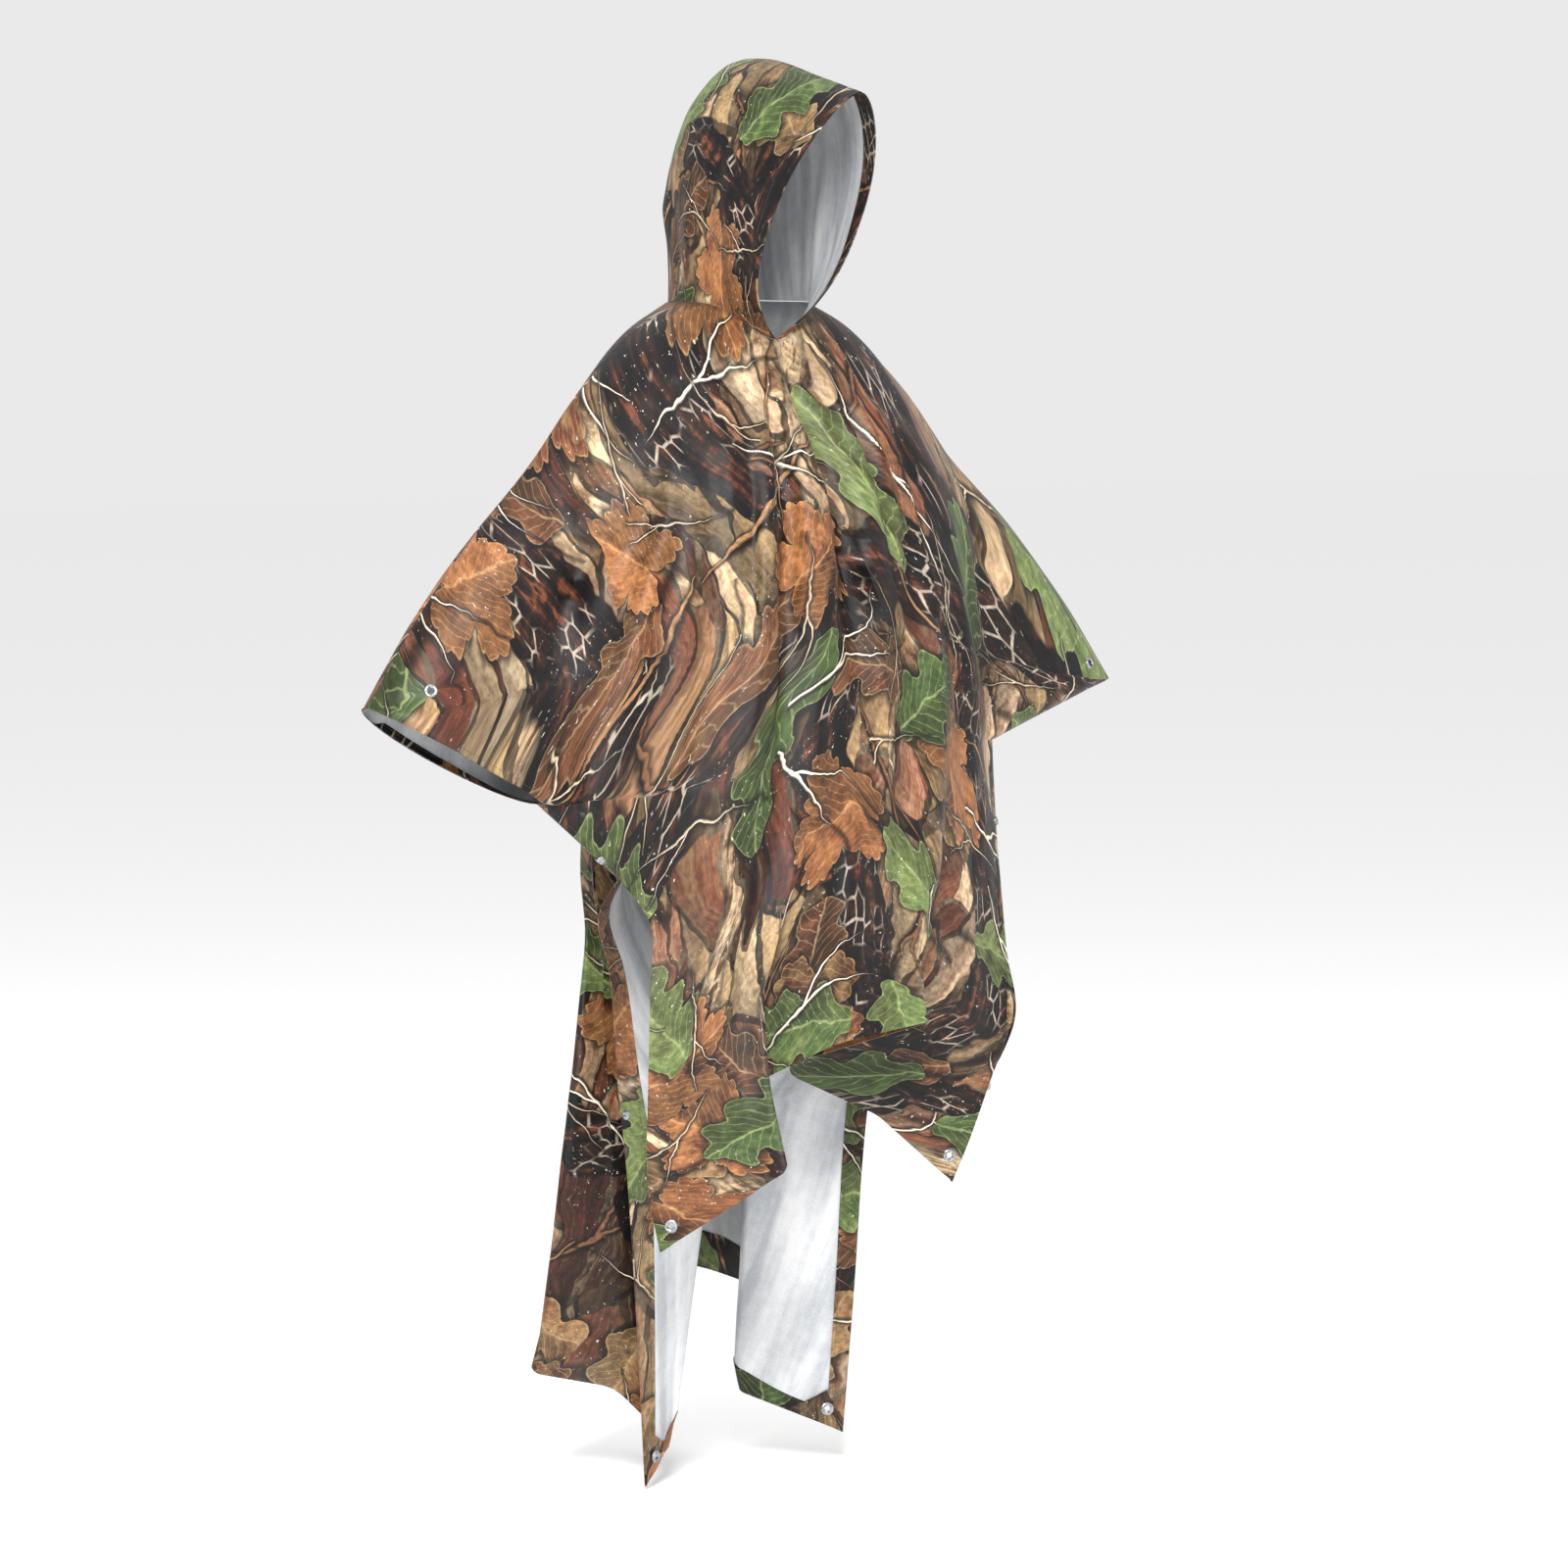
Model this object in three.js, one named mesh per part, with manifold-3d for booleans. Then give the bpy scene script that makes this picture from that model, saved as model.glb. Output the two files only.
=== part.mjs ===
import * as THREE from "three";
import { mergeVertices } from "three/addons/utils/BufferGeometryUtils.js";
import Module from "manifold-3d";

// A hooded rain poncho, cut from one rectangular sheet with a hood of two panels.
// It has the shape it takes when it is worn, with nobody in it.
// Millimetres, +Z up. The front faces -Y and the wearer's left is +X.
// The origin is the middle of the neck, where the sheet rests on the shoulders.

// Driving sizes
const clothWall = 2;
const hemWall = 1;
const seamGap = 0.4;
const neckGap = 0.9;
const hemGap = 0.7;
const hemWidth = 22;
const neckHalfWidth = 88;
const neckCentreY = 20;

// Rows of the sheet from the neck to the hem, and steps across its hem
const shoulderRows = 8;
const cuffRows = 4;
const seamRows = 2;
const openRows = 11;
const turnSteps = 4;
const layStep = 42;
const hemShare = hemWidth / 1200;
const seamInset = 0.12;

// The shoulder and arm ridge, from the neck out to the top of the cuff
const ridge = [
  { x: neckHalfWidth, y: neckCentreY, z: 0 },
  { x: 146, y: 22, z: -30 },
  { x: 238, y: 20, z: -109 },
  { x: 314, y: 16, z: -197 },
  { x: 402, y: 12, z: -284 },
  { x: 481, y: 8, z: -377 },
  { x: 550, y: 4, z: -474 },
];

// Where each side edge of the sheet runs: round the cuff, then closed down to its snap
const sides = {
  right: {
    sign: -1,
    cuffBottom: { x: 345, y: -50, z: -592 },
    open: 58,
    sag: 6,
    snap: { x: 262, y: -100, z: -682 },
  },
  left: {
    sign: 1,
    cuffBottom: { x: 322, y: -60, z: -541 },
    open: 14,
    sag: -4,
    snap: { x: 296, y: -110, z: -671 },
  },
};

// Each panel: its side edges below the snaps, how a row swells at each height,
// the folds down to its hem, and the creases that run down it.
// Reach and side are distances forward of the shoulders, and backward on the back panel.
// A fold hangs from a place across the panel, passes x, y half way and ends at hem x, y, z.
const front = {
  name: "front_panel",
  forward: -1,
  bodyHalfWidth: 300,
  rightEdge: [
    { x: -240, y: -132, z: -735 },
    { x: -250, y: -146, z: -810 },
    { x: -252, y: -144, z: -930 },
    { x: -250, y: -140, z: -1045 },
    { x: -238, y: -148, z: -1125 },
  ],
  leftEdge: [
    { x: 287, y: -140, z: -790 },
    { x: 285, y: -160, z: -873 },
    { x: 256, y: -150, z: -948 },
    { x: 232, y: -140, z: -1020 },
    { x: 212, y: -130, z: -1076 },
  ],
  swell: [
    { row: 0, middle: -45, reach: 55, side: 55, round: 2 },
    { row: 0.1, middle: -112, reach: 108, side: 30, round: 3 },
    { row: 0.2, middle: -222, reach: 165, side: 54, round: 6 },
    { row: 0.3, middle: -350, reach: 188, side: 62, round: 9 },
    { row: 0.45, middle: -512, reach: 203, side: 90, round: 7 },
    { row: 0.56, middle: -600, reach: 210, side: 118, round: 5 },
    { row: 0.7, middle: -690, reach: 220, side: 140, round: 4 },
    { row: 1, middle: -885, reach: 235, side: 140, round: 4 },
  ],
  foldStart: 0.36,
  foldMiddle: 0.78,
  folds: [
    { name: "rightEdge", across: 0, midX: -250, midY: -144, x: -238, y: -148, z: -1125, round: 0 },
    { name: "nearLap", across: 0.36, midX: -130, midY: -236, x: -134, y: -280, z: -1016, round: 12 },
    { name: "nearTurn", across: 0.4, midX: -140, midY: -186, x: -158, y: -106, z: -965, round: 20 },
    { name: "middleLap", across: 0.5, midX: -30, midY: -226, x: -40, y: -236, z: -880, round: 60 },
    { name: "farLap", across: 0.7, midX: 104, midY: -222, x: 98, y: -256, z: -858, round: 9 },
    { name: "farTurn", across: 0.75, midX: 96, midY: -176, x: -22, y: -84, z: -925, round: 20 },
    { name: "farLayer", across: 0.86, midX: 200, midY: -170, x: 120, y: -100, z: -990, round: 60 },
    { name: "leftEdge", across: 1, midX: 285, midY: -150, x: 212, y: -130, z: -1076, round: 0 },
  ],
  creases: [
    { topX: -150, topZ: -90, endX: -288, endZ: -570, deep: -16, wide: 26 },
    { topX: -120, topZ: -100, endX: -226, endZ: -720, deep: -12, wide: 24 },
    { topX: -60, topZ: -150, endX: -112, endZ: -900, deep: -14, wide: 26 },
    { topX: 8, topZ: -70, endX: 16, endZ: -420, deep: -13, wide: 22 },
    { topX: 130, topZ: -150, endX: 80, endZ: -700, deep: -12, wide: 26 },
    { topX: 150, topZ: -110, endX: 215, endZ: -640, deep: -13, wide: 28 },
    { topX: 190, topZ: -130, endX: 262, endZ: -430, deep: -9, wide: 26 },
  ],
};

const back = {
  name: "back_panel",
  forward: 1,
  bodyHalfWidth: 245,
  rightEdge: [
    { x: -252, y: -42, z: -733 },
    { x: -206, y: 0, z: -810 },
    { x: -183, y: 18, z: -940 },
    { x: -165, y: 24, z: -1060 },
    { x: -154, y: 20, z: -1240 },
    { x: -145, y: 16, z: -1438 },
  ],
  leftEdge: [
    { x: 258, y: -44, z: -733 },
    { x: 216, y: 0, z: -830 },
    { x: 197, y: 22, z: -994 },
    { x: 181, y: 30, z: -1230 },
    { x: 168, y: 35, z: -1402 },
  ],
  swell: [
    { row: 0, middle: 6, reach: 105, side: 105, round: 2 },
    { row: 0.1, middle: -80, reach: 128, side: 40, round: 3 },
    { row: 0.2, middle: -205, reach: 165, side: 50, round: 6 },
    { row: 0.3, middle: -350, reach: 180, side: 60, round: 9 },
    { row: 0.45, middle: -535, reach: 172, side: 28, round: 7 },
    { row: 0.56, middle: -630, reach: 165, side: 14, round: 5 },
    { row: 0.7, middle: -790, reach: 185, side: 50, round: 4 },
    { row: 1, middle: -1205, reach: 245, side: 80, round: 4 },
  ],
  foldStart: 0.36,
  foldMiddle: 0.76,
  folds: [
    { name: "rightEdge", across: 0, midX: -183, midY: 18, x: -145, y: 16, z: -1438, round: 0 },
    { name: "nearInner", across: 0.25, midX: 24, midY: 58, x: -94, y: 36, z: -1390, round: 8 },
    { name: "nearLay", across: 0.28, midX: -150, midY: 90, x: -152, y: 72, z: -1322, round: 60 },
    { name: "nearOuter", across: 0.31, midX: -214, midY: 104, x: -246, y: 134, z: -1302, round: 14 },
    { name: "firstHollow", across: 0.38, midX: -90, midY: 140, x: -110, y: 176, z: -1245, round: 36 },
    { name: "firstSwell", across: 0.45, midX: -40, midY: 216, x: -40, y: 282, z: -1222, round: 30 },
    { name: "midHollow", across: 0.52, midX: 26, midY: 160, x: 28, y: 196, z: -1205, round: 36 },
    { name: "lastSwell", across: 0.59, midX: 86, midY: 210, x: 106, y: 268, z: -1212, round: 30 },
    { name: "lastHollow", across: 0.66, midX: 130, midY: 150, x: 146, y: 180, z: -1235, round: 26 },
    { name: "farOuter", across: 0.72, midX: 208, midY: 110, x: 226, y: 140, z: -1275, round: 14 },
    { name: "farInner", across: 0.78, midX: 44, midY: 90, x: 44, y: 94, z: -1345, round: 8 },
    { name: "leftEdge", across: 1, midX: 190, midY: 22, x: 168, y: 35, z: -1402, round: 0 },
  ],
  creases: [
    { topX: -160, topZ: -90, endX: -288, endZ: -560, deep: -16, wide: 26 },
    { topX: -110, topZ: -80, endX: -190, endZ: -700, deep: -13, wide: 28 },
    { topX: -45, topZ: -110, endX: -80, endZ: -860, deep: -12, wide: 26 },
    { topX: 30, topZ: -90, endX: 24, endZ: -860, deep: -14, wide: 24 },
    { topX: 105, topZ: -80, endX: 130, endZ: -800, deep: -12, wide: 26 },
    { topX: 170, topZ: -90, endX: 284, endZ: -560, deep: -16, wide: 26 },
  ],
};

// Hood: its centre seam from the peak over the crown to the back of the neck,
// and its half width beside each part of the seam
const hoodRibs = 15;
const hoodSteps = 13;
const hoodSeam = [
  { y: -226, z: 250 },
  { y: -150, z: 268 },
  { y: -40, z: 292 },
  { y: 40, z: 285 },
  { y: 88, z: 230 },
  { y: 98, z: 130 },
  { y: 108, z: 52 },
];
const hoodWidths = [
  { along: 0, half: 66 },
  { along: 0.2, half: 78 },
  { along: 0.4, half: 84 },
  { along: 0.6, half: 76 },
  { along: 0.8, half: 52 },
  { along: 1, half: 0 },
];

// Metal pieces
const eyelet = { hole: 4, barrel: 5, flange: 8, flangeWall: 1, clear: 1, drillLength: 30, segments: 10 };
const snapButton = { radius: 5.5, height: 2, clear: 0.6, segments: 8 };
const openSnapDrop = 330;
const cuffEyelets = {
  right: { x: -504, y: -50, z: -452 },
  left: { x: 496, y: -30, z: -461 },
};

const { lerp, clamp } = THREE.MathUtils;
const ease = (t) => t * t * (3 - 2 * t);
const vec = (p) => new THREE.Vector3(p.x ?? 0, p.y, p.z);

// A smooth curve through named points
function curveThrough(points) {
  return new THREE.CatmullRomCurve3(points.map(vec), false, "centripetal");
}

// A column of a table read at a place between its rows, smoothly and without overshoot
function between(table, key, place, column) {
  const last = table.length - 1;
  const at = clamp(place, table[0][key], table[last][key]);
  let i = 0;
  while (i < last - 1 && table[i + 1][key] < at) i++;
  const slope = (k) => {
    const a = table[Math.max(k - 1, 0)];
    const b = table[Math.min(k + 1, last)];
    return (b[column] - a[column]) / (b[key] - a[key]);
  };
  const [p, q] = [table[i], table[i + 1]];
  const step = q[key] - p[key];
  const t = (at - p[key]) / step;
  const most = 3 * (q[column] - p[column]) / step;
  const kept = (s) => clamp(s, Math.min(0, most), Math.max(0, most)) * step;
  return p[column] * (2 * t ** 3 - 3 * t ** 2 + 1) + kept(slope(i)) * (t ** 3 - 2 * t ** 2 + t)
    + q[column] * (3 * t ** 2 - 2 * t ** 3) + kept(slope(i + 1)) * (t ** 3 - t ** 2);
}

// Shares of a length in even steps, with the last step as wide as a hem
function stepsToHem(count, length) {
  const beforeHem = 1 - hemWidth / length;
  const shares = [];
  for (let i = 0; i < count; i++) shares.push(beforeHem * i / (count - 1));
  shares.push(1);
  return shares;
}

// The side boundary of a panel: shoulder ridge, cuff, closed seam, then the open edge.
// The two panels keep half of the seam gap each.
function sideBoundary(panel, side, openEdge) {
  const { sign, cuffBottom, open, sag, snap } = side;
  const apart = panel.forward * seamGap / 2;
  const ridgeCurve = curveThrough(ridge);
  const cuffTop = ridge[ridge.length - 1];
  const points = [];
  for (let i = 0; i < shoulderRows; i++) {
    const p = ridgeCurve.getPointAt(i / shoulderRows);
    points.push(new THREE.Vector3(sign * p.x, p.y + apart, p.z));
  }
  for (let i = 0; i < cuffRows; i++) {
    const turn = Math.PI * i / cuffRows;
    const t = (1 - Math.cos(turn)) / 2;
    points.push(new THREE.Vector3(
      sign * lerp(cuffTop.x, cuffBottom.x, t),
      lerp(cuffTop.y, cuffBottom.y, t) + panel.forward * open * Math.sin(turn) + apart,
      lerp(cuffTop.z, cuffBottom.z, t) - sag * Math.sin(turn),
    ));
  }
  for (let i = 0; i < seamRows; i++) {
    const t = i / seamRows;
    points.push(new THREE.Vector3(
      sign * lerp(cuffBottom.x, snap.x, t),
      lerp(cuffBottom.y, snap.y, t) + apart,
      lerp(cuffBottom.z, snap.z, t),
    ));
  }
  const start = { x: sign * snap.x, y: snap.y + apart, z: snap.z };
  const edge = curveThrough([start, ...openEdge]);
  for (const share of stepsToHem(openRows, edge.getLength())) points.push(edge.getPointAt(share));
  return points;
}

// An arc about a centre between two points at the same distance from it
class RoundTurn extends THREE.Curve {
  constructor(centre, from, to) {
    super();
    this.centre = centre;
    this.from = from.clone().sub(centre);
    this.to = to.clone().sub(centre);
    this.angle = this.from.angleTo(this.to);
  }

  getPoint(t, target = new THREE.Vector3()) {
    const whole = Math.sin(this.angle);
    return target.copy(this.centre)
      .addScaledVector(this.from, Math.sin((1 - t) * this.angle) / whole)
      .addScaledVector(this.to, Math.sin(t * this.angle) / whole);
  }
}

// Lays of cloth through the corners, joined by round turns, as a list of curves
function foldedLine(corners, rounds) {
  const curves = [];
  let start = corners[0];
  for (let i = 1; i < corners.length - 1; i++) {
    const corner = corners[i];
    const inward = corners[i - 1].clone().sub(corner);
    const onward = corners[i + 1].clone().sub(corner);
    const half = inward.angleTo(onward) / 2;
    const room = 0.45 * Math.min(inward.length(), onward.length());
    const cut = Math.min(rounds[i] / Math.tan(half), room);
    const enter = corner.clone().addScaledVector(inward.normalize(), cut);
    const leave = corner.clone().addScaledVector(onward.normalize(), cut);
    const middle = enter.clone().lerp(leave, 0.5).sub(corner);
    const centre = corner.clone().add(middle.setLength(cut / Math.cos(half)));
    curves.push(new THREE.LineCurve3(start, enter), new RoundTurn(centre, enter, leave));
    start = leave;
  }
  curves.push(new THREE.LineCurve3(start, corners[corners.length - 1]));
  return curves;
}

// The columns of a panel: where each reads the folded lines, and where it hangs from
function panelColumns(panel, hemCurves) {
  const last = hemCurves.length - 1;
  const columns = [];
  hemCurves.forEach((curve, k) => {
    const length = curve.getLength();
    const isTurn = k % 2 === 1;
    const steps = isTurn ? turnSteps : Math.max(1, Math.round(length / layStep));
    let shares = Array.from({ length: steps }, (_, i) => i / steps);
    if (k === 0) shares = stepsToHem(steps, length).slice(1).map((s) => 1 - s).reverse();
    if (k === last) shares = stepsToHem(steps, length);
    for (const t of shares) columns.push({ curve: k, t });
  });
  const guides = panel.folds.map((fold, i) => ({ place: i, across: fold.across }));
  for (const c of columns) {
    const inTurn = c.curve % 2 === 1;
    const first = (c.curve - (inTurn ? 1 : 0)) / 2;
    const edgeLeft = first === 0 ? 0 : 0.12;
    const edgeRight = first === guides.length - 2 ? 1 : 0.88;
    const place = inTurn ? lerp(first + 0.88, first + 1.12, c.t)
      : first + lerp(edgeLeft, edgeRight, c.t);
    c.across = between(guides, "place", place, "across");
  }
  columns[1].across = hemShare;
  columns[columns.length - 2].across = 1 - hemShare;
  return columns;
}

// One row of a panel before it folds, as points from the right side to the left
function plainRow(panel, row, right, left) {
  const [middle, reach, side, round] = ["middle", "reach", "side", "round"]
    .map((column) => between(panel.swell, "row", row, column));
  const samples = 200;
  const points = [];
  for (let i = 0; i <= samples; i++) {
    const a = -Math.cos(Math.PI * i / samples);
    const edge = a < 0 ? right : left;
    const wall = Math.sqrt(1 - Math.abs(a) ** round);
    const x = edge.x * Math.abs(a);
    const swollen = Math.max(0, 1 - Math.abs(x / panel.bodyHalfWidth) ** 3);
    const y = lerp(edge.y, panel.forward * side, wall)
      + panel.forward * (reach - side) * swollen * wall;
    points.push(new THREE.Vector3(x, y, lerp(middle, edge.z, ease(Math.abs(a)))));
  }
  return points;
}

// Reads a row of points at a share of its length
function readRow(points, share) {
  const lengths = [0];
  for (let i = 1; i < points.length; i++) {
    lengths.push(lengths[i - 1] + points[i].distanceTo(points[i - 1]));
  }
  const want = share * lengths[lengths.length - 1];
  let i = 0;
  while (i < points.length - 2 && lengths[i + 1] < want) i++;
  return points[i].clone().lerp(points[i + 1], (want - lengths[i]) / (lengths[i + 1] - lengths[i]));
}

// How far the creases press a point in, with a low swell on each side of each crease
function creaseDepth(panel, point) {
  let depth = 0;
  for (const c of panel.creases) {
    const t = (point.z - c.topZ) / (c.endZ - c.topZ);
    if (t <= 0 || t >= 1.15) continue;
    const off = (point.x - lerp(c.topX, c.endX, t)) / c.wide;
    const bump = (shift) => Math.exp(-((off - shift) ** 2));
    depth += c.deep * Math.sin(Math.PI * t / 1.15) ** 0.6 * (bump(0) - bump(1.7) / 2 - bump(-1.7) / 2);
  }
  return depth;
}

// The grid of points in the middle of a panel's cloth, rows from the neck to the hem
function panelGrid(panel) {
  const right = sideBoundary(panel, sides.right, panel.rightEdge);
  const left = sideBoundary(panel, sides.left, panel.leftEdge);
  const rows = right.length - 1;
  const rounds = panel.folds.map((fold) => fold.round);
  const hem = foldedLine(panel.folds.map(vec), rounds);
  const columns = panelColumns(panel, hem);
  const middleCorners = panel.folds.map((f) => new THREE.Vector3(f.midX, f.midY, 0));
  const halfWay = foldedLine(middleCorners, rounds);
  const rowAt = (row, i) => plainRow(panel, row, right[i], left[i]);
  const hemRow = rowAt(1, rows);
  const middleIndex = Math.round(panel.foldMiddle * rows);
  const middleRow = rowAt(middleIndex / rows, middleIndex);
  const pulls = columns.map((c) => {
    const onHem = hem[c.curve].getPointAt(c.t).sub(readRow(hemRow, c.across));
    const onMiddle = halfWay[c.curve].getPointAt(c.t).sub(readRow(middleRow, c.across));
    onMiddle.z = onHem.z * 0.25;
    return { onHem, onMiddle };
  });
  const middle = middleIndex / rows;
  const grid = [];
  for (let i = 0; i <= rows; i++) {
    const row = i / rows;
    const plain = rowAt(row, i);
    const even = ease(clamp(row / panel.foldStart, 0, 1));
    const upper = clamp((row - panel.foldStart) / (middle - panel.foldStart), 0, 1) ** 1.6;
    const lower = clamp((row - middle) / (1 - middle), 0, 1);
    grid.push(columns.map((c, j) => {
      const edge = j === 0 || j === columns.length - 1;
      const share = lerp(j / (columns.length - 1), c.across, even);
      const point = readRow(plain, share);
      if (edge) return point;
      point.y += panel.forward * creaseDepth(panel, point) * Math.sin(Math.PI * share) ** 0.5;
      const pull = row < middle ? pulls[j].onMiddle.clone().multiplyScalar(upper)
        : pulls[j].onMiddle.clone().lerp(pulls[j].onHem, lower);
      return point.add(pull);
    }));
  }
  return grid;
}

// The direction of a line of points at one of them, half way between the steps to and from it
function direction(line, i) {
  const sum = new THREE.Vector3();
  if (i > 0) sum.add(line[i].clone().sub(line[i - 1]).normalize());
  if (i < line.length - 1) sum.add(line[i + 1].clone().sub(line[i]).normalize());
  return sum.normalize();
}

// Unit normals of a grid on the side that down x across gives.
// Where two pieces meet along a seam they stay level, so that the walls end flush.
function gridNormals(grid, flatten) {
  const columns = grid[0].map((_, j) => grid.map((row) => row[j]));
  return grid.map((row, i) => row.map((p, j) => {
    const normal = direction(columns[j], i).cross(direction(row, j));
    flatten(normal, i, j);
    return normal.normalize();
  }));
}

// The triangles of a grid, each square cut along its shorter diagonal
function gridTriangles(points, rows, cols) {
  const triangles = [];
  for (let i = 0; i < rows - 1; i++) {
    for (let j = 0; j < cols - 1; j++) {
      const [a, b] = [i * cols + j, (i + 1) * cols + j];
      const [c, d] = [b + 1, a + 1];
      const shortAC = points[a].distanceTo(points[c]) <= points[b].distanceTo(points[d]);
      if (shortAC) triangles.push([a, b, c], [a, c, d]);
      else triangles.push([a, b, d], [b, c, d]);
    }
  }
  return triangles;
}

// A closed wall: a sheet of triangles moved by two distances along its normals,
// with a strip along each of its free edges
function thicken(points, normals, triangles, outer, inner) {
  const moved = [outer, inner].flatMap((move) =>
    points.map((p, i) => p.clone().addScaledVector(normals[i], move)));
  const behind = points.length;
  const index = [];
  const edges = new Map();
  for (const [a, b, c] of triangles) {
    index.push(a, b, c, behind + a, behind + c, behind + b);
    for (const [from, to] of [[a, b], [b, c], [c, a]]) edges.set(`${from} ${to}`, [from, to]);
  }
  for (const [from, to] of edges.values()) {
    if (edges.has(`${to} ${from}`)) continue;
    index.push(to, from, behind + from, to, behind + from, behind + to);
  }
  const geometry = new THREE.BufferGeometry();
  const position = new THREE.Float32BufferAttribute(moved.flatMap((p) => p.toArray()), 3);
  geometry.setAttribute("position", position);
  geometry.setIndex(index);
  return geometry;
}

// A wall over a grid, cut into triangles as the grid that it lies on
function gridWall(grid, normals, outer, inner, guide = grid) {
  const triangles = gridTriangles(guide.flat(), grid.length, grid[0].length);
  return thicken(grid.flat(), normals.flat(), triangles, outer, inner);
}

const wasm = await Module();
wasm.setup();

// A geometry as a solid that can be cut, and back
function toSolid(geometry) {
  const bare = geometry.clone();
  bare.deleteAttribute("normal");
  bare.deleteAttribute("uv");
  const merged = mergeVertices(bare, 1e-4);
  return new wasm.Manifold(new wasm.Mesh({
    numProp: 3,
    vertProperties: new Float32Array(merged.attributes.position.array),
    triVerts: new Uint32Array(merged.index.array),
  }));
}

function fromSolid(solid) {
  const mesh = solid.getMesh();
  const geometry = new THREE.BufferGeometry();
  geometry.setAttribute("position", new THREE.BufferAttribute(mesh.vertProperties, 3));
  geometry.setIndex(new THREE.BufferAttribute(mesh.triVerts, 1));
  return geometry;
}

const poncho = new THREE.Group();

function addMesh(name, geometry, material) {
  const mesh = new THREE.Mesh(geometry, material);
  mesh.name = name;
  poncho.add(mesh);
  return mesh;
}

const cloth = (color) => new THREE.MeshStandardMaterial({ color, roughness: 0.55, metalness: 0 });
const steelFinish = { color: 0xb4b6b8, roughness: 0.3, metalness: 0.9 };
const steel = () => new THREE.MeshStandardMaterial(steelFinish);
const printColours = { front: 0x74583a, back: 0x5d4a34, hood: 0x6b4f36, hem: 0x4f4a30 };

// A ring that clamps the cloth round a hole: two flanges joined by a barrel
function eyeletGeometry() {
  const { hole, barrel, flange, flangeWall, clear } = eyelet;
  const top = clothWall / 2 + clear;
  const bottom = -(clothWall / 2 + 2 * hemWall + hemGap + seamGap + clear);
  const profile = [
    [hole, bottom - flangeWall], [flange - 0.6, bottom - flangeWall], [flange, bottom],
    [barrel, bottom], [barrel, top], [flange, top], [flange - 0.6, top + flangeWall],
    [hole, top + flangeWall], [hole, bottom - flangeWall],
  ].map(([x, y]) => new THREE.Vector2(x, y));
  return new THREE.LatheGeometry(profile, eyelet.segments);
}

// A low round button, its flat side at zero
function snapGeometry() {
  const { radius, height, segments } = snapButton;
  const profile = [[0, 0], [radius, 0], [radius, height * 0.5], [radius * 0.55, height], [0, height]]
    .map(([x, y]) => new THREE.Vector2(x, y));
  return new THREE.LatheGeometry(profile, segments);
}

// Stands a turned piece, made along Y, on a place with a normal
function placeOn(mesh, place, lift) {
  mesh.quaternion.setFromUnitVectors(new THREE.Vector3(0, 1, 0), place.normal);
  mesh.position.copy(place.point).addScaledVector(place.normal, lift);
}

// A point on a panel's cloth between four grid points
function pointAt({ grid, lastRow, lastColumn }, row, column) {
  const i = Math.min(Math.floor(row), lastRow - 1);
  const j = Math.min(Math.floor(column), lastColumn - 1);
  const upper = grid[i][j].clone().lerp(grid[i][j + 1], column - j);
  const lower = grid[i + 1][j].clone().lerp(grid[i + 1][j + 1], column - j);
  return upper.lerp(lower, row - i);
}

// The same point with the cloth's outward normal there
function placeAt(panel, row, column) {
  const about = 0.35;
  const across = pointAt(panel, row, column + about).sub(pointAt(panel, row, column - about));
  const down = pointAt(panel, row + about, column).sub(pointAt(panel, row - about, column));
  const normal = down.cross(across).multiplyScalar(-panel.forward).normalize();
  return { point: pointAt(panel, row, column), normal };
}

// The place on a panel that is nearest to a point
function nearestPlace(panel, target) {
  let best = null;
  const parts = 6;
  for (let i = 1; i < panel.lastRow * parts; i++) {
    for (let j = parts; j < (panel.lastColumn - 1) * parts; j++) {
      const away = pointAt(panel, i / parts, j / parts).distanceTo(target);
      if (!best || away < best.away) best = { row: i / parts, column: j / parts, away };
    }
  }
  return placeAt(panel, Math.max(best.row, 1), best.column);
}

const seamEndRow = shoulderRows + cuffRows + seamRows;
for (const panel of [front, back]) {
  panel.grid = panelGrid(panel);
  panel.lastRow = panel.grid.length - 1;
  panel.lastColumn = panel.grid[0].length - 1;
  panel.normals = gridNormals(panel.grid, (normal, i, j) => {
    if (i === 0) normal.z = 0;
    if (i <= seamEndRow && (j === 0 || j === panel.lastColumn)) normal.y = 0;
  });
}

// Eyelets: one in each corner of the sheet and one by the top of each cuff
const corners = [front, back].flatMap((panel) => ["right", "left"].map((side) => ({
  panel, side, name: `${panel.name.replace("_panel", "")}_${side}`,
})));
const eyelets = corners.map(({ panel, side, name }) => {
  const column = side === "right" ? 1 : panel.lastColumn - 1;
  return { name: `eyelet_${name}`, place: placeAt(panel, panel.lastRow - 1, column) };
});
for (const [side, spot] of Object.entries(cuffEyelets)) {
  eyelets.push({ name: `eyelet_cuff_${side}`, place: nearestPlace(front, vec(spot)) });
}
for (const { name, place } of eyelets) placeOn(addMesh(name, eyeletGeometry(), steel()), place, 0);

// Cuts the eyelets' holes through a wall of cloth
function pierced(geometry) {
  let solid = toSolid(geometry);
  for (const { place } of eyelets) {
    const drill = new THREE.Mesh(new THREE.CylinderGeometry(
      eyelet.barrel + seamGap, eyelet.barrel + seamGap, eyelet.drillLength, eyelet.segments));
    placeOn(drill, place, 0);
    drill.updateMatrix();
    solid = solid.subtract(toSolid(drill.geometry.applyMatrix4(drill.matrix)));
  }
  return fromSolid(solid);
}

// The two panels of the sheet
for (const [panel, colour] of [[front, printColours.front], [back, printColours.back]]) {
  const wall = gridWall(panel.grid, panel.normals, clothWall / 2, -clothWall / 2);
  addMesh(panel.name, pierced(wall), cloth(colour));
}

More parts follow.
